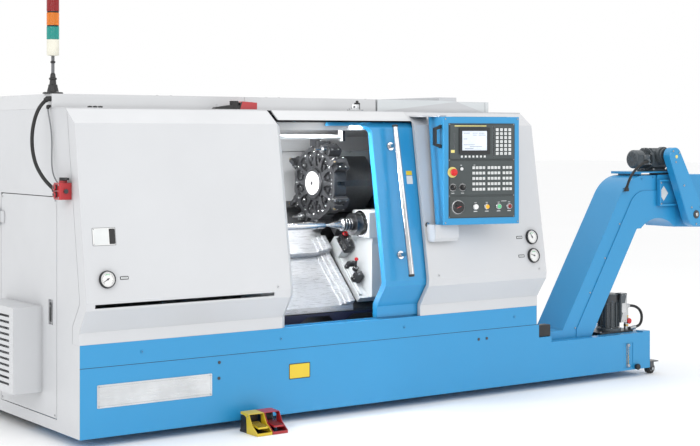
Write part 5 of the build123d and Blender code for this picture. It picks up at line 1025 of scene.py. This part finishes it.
def dress_conveyor():
    """Tank, conveyor, drive and pump in their paints, with screws, seals and small fittings."""
    zoned("coolant_tank", BLUE, [
        (lambda c, n: 3713 < c.x < 3743 and c.y < -0.5 and 47 < c.z < 77, PLASTIC),
        (lambda c, n: c.x > 3850, DARK)])
    sight = Piece("sight_gauge", "machine", "chrome")
    sight.plate(ALUMINIUM, rounded(21, 138, 5), 2.0, flat_front(3656, 136, 2.9))
    for z in (74, 198):
        sight.block(CHROME, 3647, 3665, -8, 4, z - 9, z + 9, edge=3)
        sight.bolt(CHROME, (3656, -8, z), FRONT, 7, 5)
    sight.turned(SIGHT, (3656, -2, 80), UP, [(0, 5.5), (112, 5.5)], 28)
    sight.turned(BRASS, (3656, -2, 82), UP, [(0, 3.4), (58, 3.4)], 20)
    sight.turned(PLASTIC, (3728, -10, 62), FRONT, [(0, 17), (2, 18), (10, 18), (13, 15)], 48, 12, 0.05)
    sight.done()
    y0, y1 = 70, 300
    look(BLUE, "chain_guard")
    zoned("conveyor_housing", BLUE, [
        (lambda c, n: c.x < 3720 and 1130 < c.z < 1168 and c.y < 64, PLASTIC)])
    made = Piece("conveyor_details", "machine", "machined_steel")
    slope_way = Vector((math.cos(CHUTE_ANGLE), 0, math.sin(CHUTE_ANGLE)))
    first = Vector((3175, 0, 318))
    across = Vector((math.sin(CHUTE_ANGLE), 0, -math.cos(CHUTE_ANGLE)))
    for step in range(4):
        spot = first + slope_way * (60 + step * 240) + across * 84
        made.bolt(STEEL, (spot.x, y0, spot.z), FRONT, 5, 3)
        made.bolt(STEEL, (spot.x, y1, spot.z), REAR, 5, 3)
        low = first + slope_way * (60 + step * 240) + across * 190
        made.bolt(STEEL, (low.x, y1, low.z), REAR, 5, 3)
    made.bolts(BLUE, [(3850, y0, 1214), (3950, y0, 1222), (4050, y0, 1222)], FRONT, 6, 3.6)
    made.plate(KEYCAP, [(0, 47), (-40, 0), (0, -47), (40, 0)], 1.2, flat_front(4032, 1120, 55.9))
    made.bolts(STEEL, [(3988, 36, 1056), (3988, 36, 1188), (4170, 56, 1056)], FRONT, 5, 4)
    made.done()
    guard = Piece("chain_guard_details", "machine", "machined_steel")
    for x, z in ((4022, 1386), (4078, 1376), (4046, 1318), (4190, 1030), (4272, 1030), (4232, 925),
                 (4120, 1170)):
        guard.bolt(STEEL, (x, GUARD_FACE, z), FRONT, 6, 4)
    guard.turned(COLLAR, (4052, GUARD_FACE - 0.05, 1352), FRONT, [(0, 11), (0.8, 11)], 32)
    guard.turned(OILED, (4232, GUARD_FACE - 0.05, 985), FRONT, [(0, 26), (3, 26), (4, 22)], 40)
    guard.turned(STEEL, (4232, GUARD_FACE - 4, 985), FRONT, [(0, 12), (4, 12), (6, 9)], 32)
    guard.done()
    look(SLATE, "gear_motor")
    drive = Piece("gear_motor_details", "machine", "dark_grey_paint")
    for k in range(10):
        place = Matrix.Translation(MOTOR) @ spun(k * 36, "X")
        drive.block(OILED, -0.5, 0.4, -2.2, 2.2, 14, 42, place, 0.3)
    flange = [(3958.6, MOTOR.y + dy, MOTOR.z + dz) for dy, dz in clock(6, 64, 30)]
    drive.bolts(STEEL, flange, LEFT, 5, 4)
    drive.bolts(STEEL, grid((3976, 4096), (88, 212), 1270.4), UP, 7, 6)
    drive.plate(ALUMINIUM, rounded(40, 24, 2), 0.8, flat_front(4035, 1340, 89.9))
    drive.block(SLATE, 3853, 3905, 50.5, 54.5, 1303, 1363, edge=2)
    drive.bolts(STEEL, [(x, 50.5, z) for x in (3858, 3900) for z in (1308, 1358)], FRONT, 3, 2)
    drive.done()
    x, y, z = 3640, 150, 268.3
    zoned("coolant_pump", SLATE, [
        (lambda c, n: c.z < z + 10.5, OILED),
        (lambda c, n: c.x > 3705 and c.y < 126, STEEL),
        (lambda c, n: c.z > z + 188, OILED)])
    pump = Piece("coolant_pump_details", "machine", "dark_grey_paint")
    pump.bolts(STEEL, [(x + dx, y + dy, z + 26) for dx, dy in clock(6, 68)], UP, 5, 4)
    for k in range(24):
        spin = Matrix.Translation((x, y, 0)) @ spun(k * 15 + 7.5, "Z")
        pump.block(SLATE, 55, 64, -1.2, 1.2, z + 38, z + 180, spin, 0.5)
    for level in (0, 38):
        pump.turned(SLATE, (x, y, z + 192 + level), UP, [(0, 62), (1, 63.4), (4, 63.4), (5, 62)], 56)
    pump.plate(ALUMINIUM, rounded(34, 58, 3), 0.8, flat_front(3697, z + 150, 73.9))
    pump.bolts(STEEL, [(x1, 74, z + dz) for x1 in (3684, 3710) for dz in (70, 230)], FRONT, 3, 2)
    for sx, sy in ((-138, -70), (-138, 88), (118, 88)):
        pump.bolt(STEEL, (x + sx, y + sy, z + 10), UP, 6, 5)
    valve = [(0, 6), (12, 6), (13, 17), (20, 17), (22, 14)]
    pump.turned(STOPRED, (3752, 98, z + 64), FRONT, valve, 40, 8, 0.06)
    pump.turned(BRASS, (3752, 110, z + 84), UP, [(0, 17), (14, 17)], 6)
    pump.turned(BRASS, (3752, 110, z + 30), UP, [(0, 17), (12, 17)], 6)
    pump.done()
    wheel_x, wheel_z = 3895, 32
    for wheel, y in (("tank_wheel_front", 48), ("tank_wheel_rear", 580)):
        zoned(wheel, RUBBER, [
            (lambda c, n: math.hypot(c.x - wheel_x, c.z - wheel_z) < 8, STEEL)])
        hub = Piece(wheel + "_hub", wheel, "machined_steel")
        for side in (-1, 1):
            outward = (0, side, 0)
            hub.turned(STEEL, (wheel_x, y + side * 13.9, wheel_z), outward, [(0, 18), (1, 18), (1.6, 16)], 40)
            hub.turned(STEEL, (wheel_x, y + side * 25, wheel_z), outward, [(0, 9), (5, 9)], 6)
        hub.done()


def dress_pedals():
    """Foot switch: yellow and red guards with treads, black bodies."""
    look(BLACK, "pedal_base")
    zoned("pedal_guards", YELLOW, [(lambda c, n: c.x > 940, RED)])
    for name, left, tone in (("pedal_yellow", 850, YELLOW), ("pedal_red", 942, RED)):
        look(tone, name)
        made = Piece(name + "_tread", name, "black_plastic")
        for k in range(7):
            y = -200 + k * 12
            z = 40.1 + (y + 206) / 92 * 13
            made.block(PLASTIC, left + 18, left + 70, y, y + 5, z - 0.5, z + 1.6, edge=0.5)
        made.done()
    screws = Piece("pedal_guard_screws", "machine", "machined_steel")
    for left in (850, 942):
        for x, side in ((left, -1), (left + 88, 1)):
            screws.bolt(STEEL, (x, -130, 86), (side, 0, 0), 3.4, 1.6)
    screws.done()


make_camera()
make_cords()
make_studio()
dress_enclosure()
dress_hidden_sides()
dress_service_door()
dress_gauges()
dress_tower()
dress_power_box()
dress_door()
dress_work_space()
dress_turret()
dress_panel()
dress_conveyor()
dress_pedals()
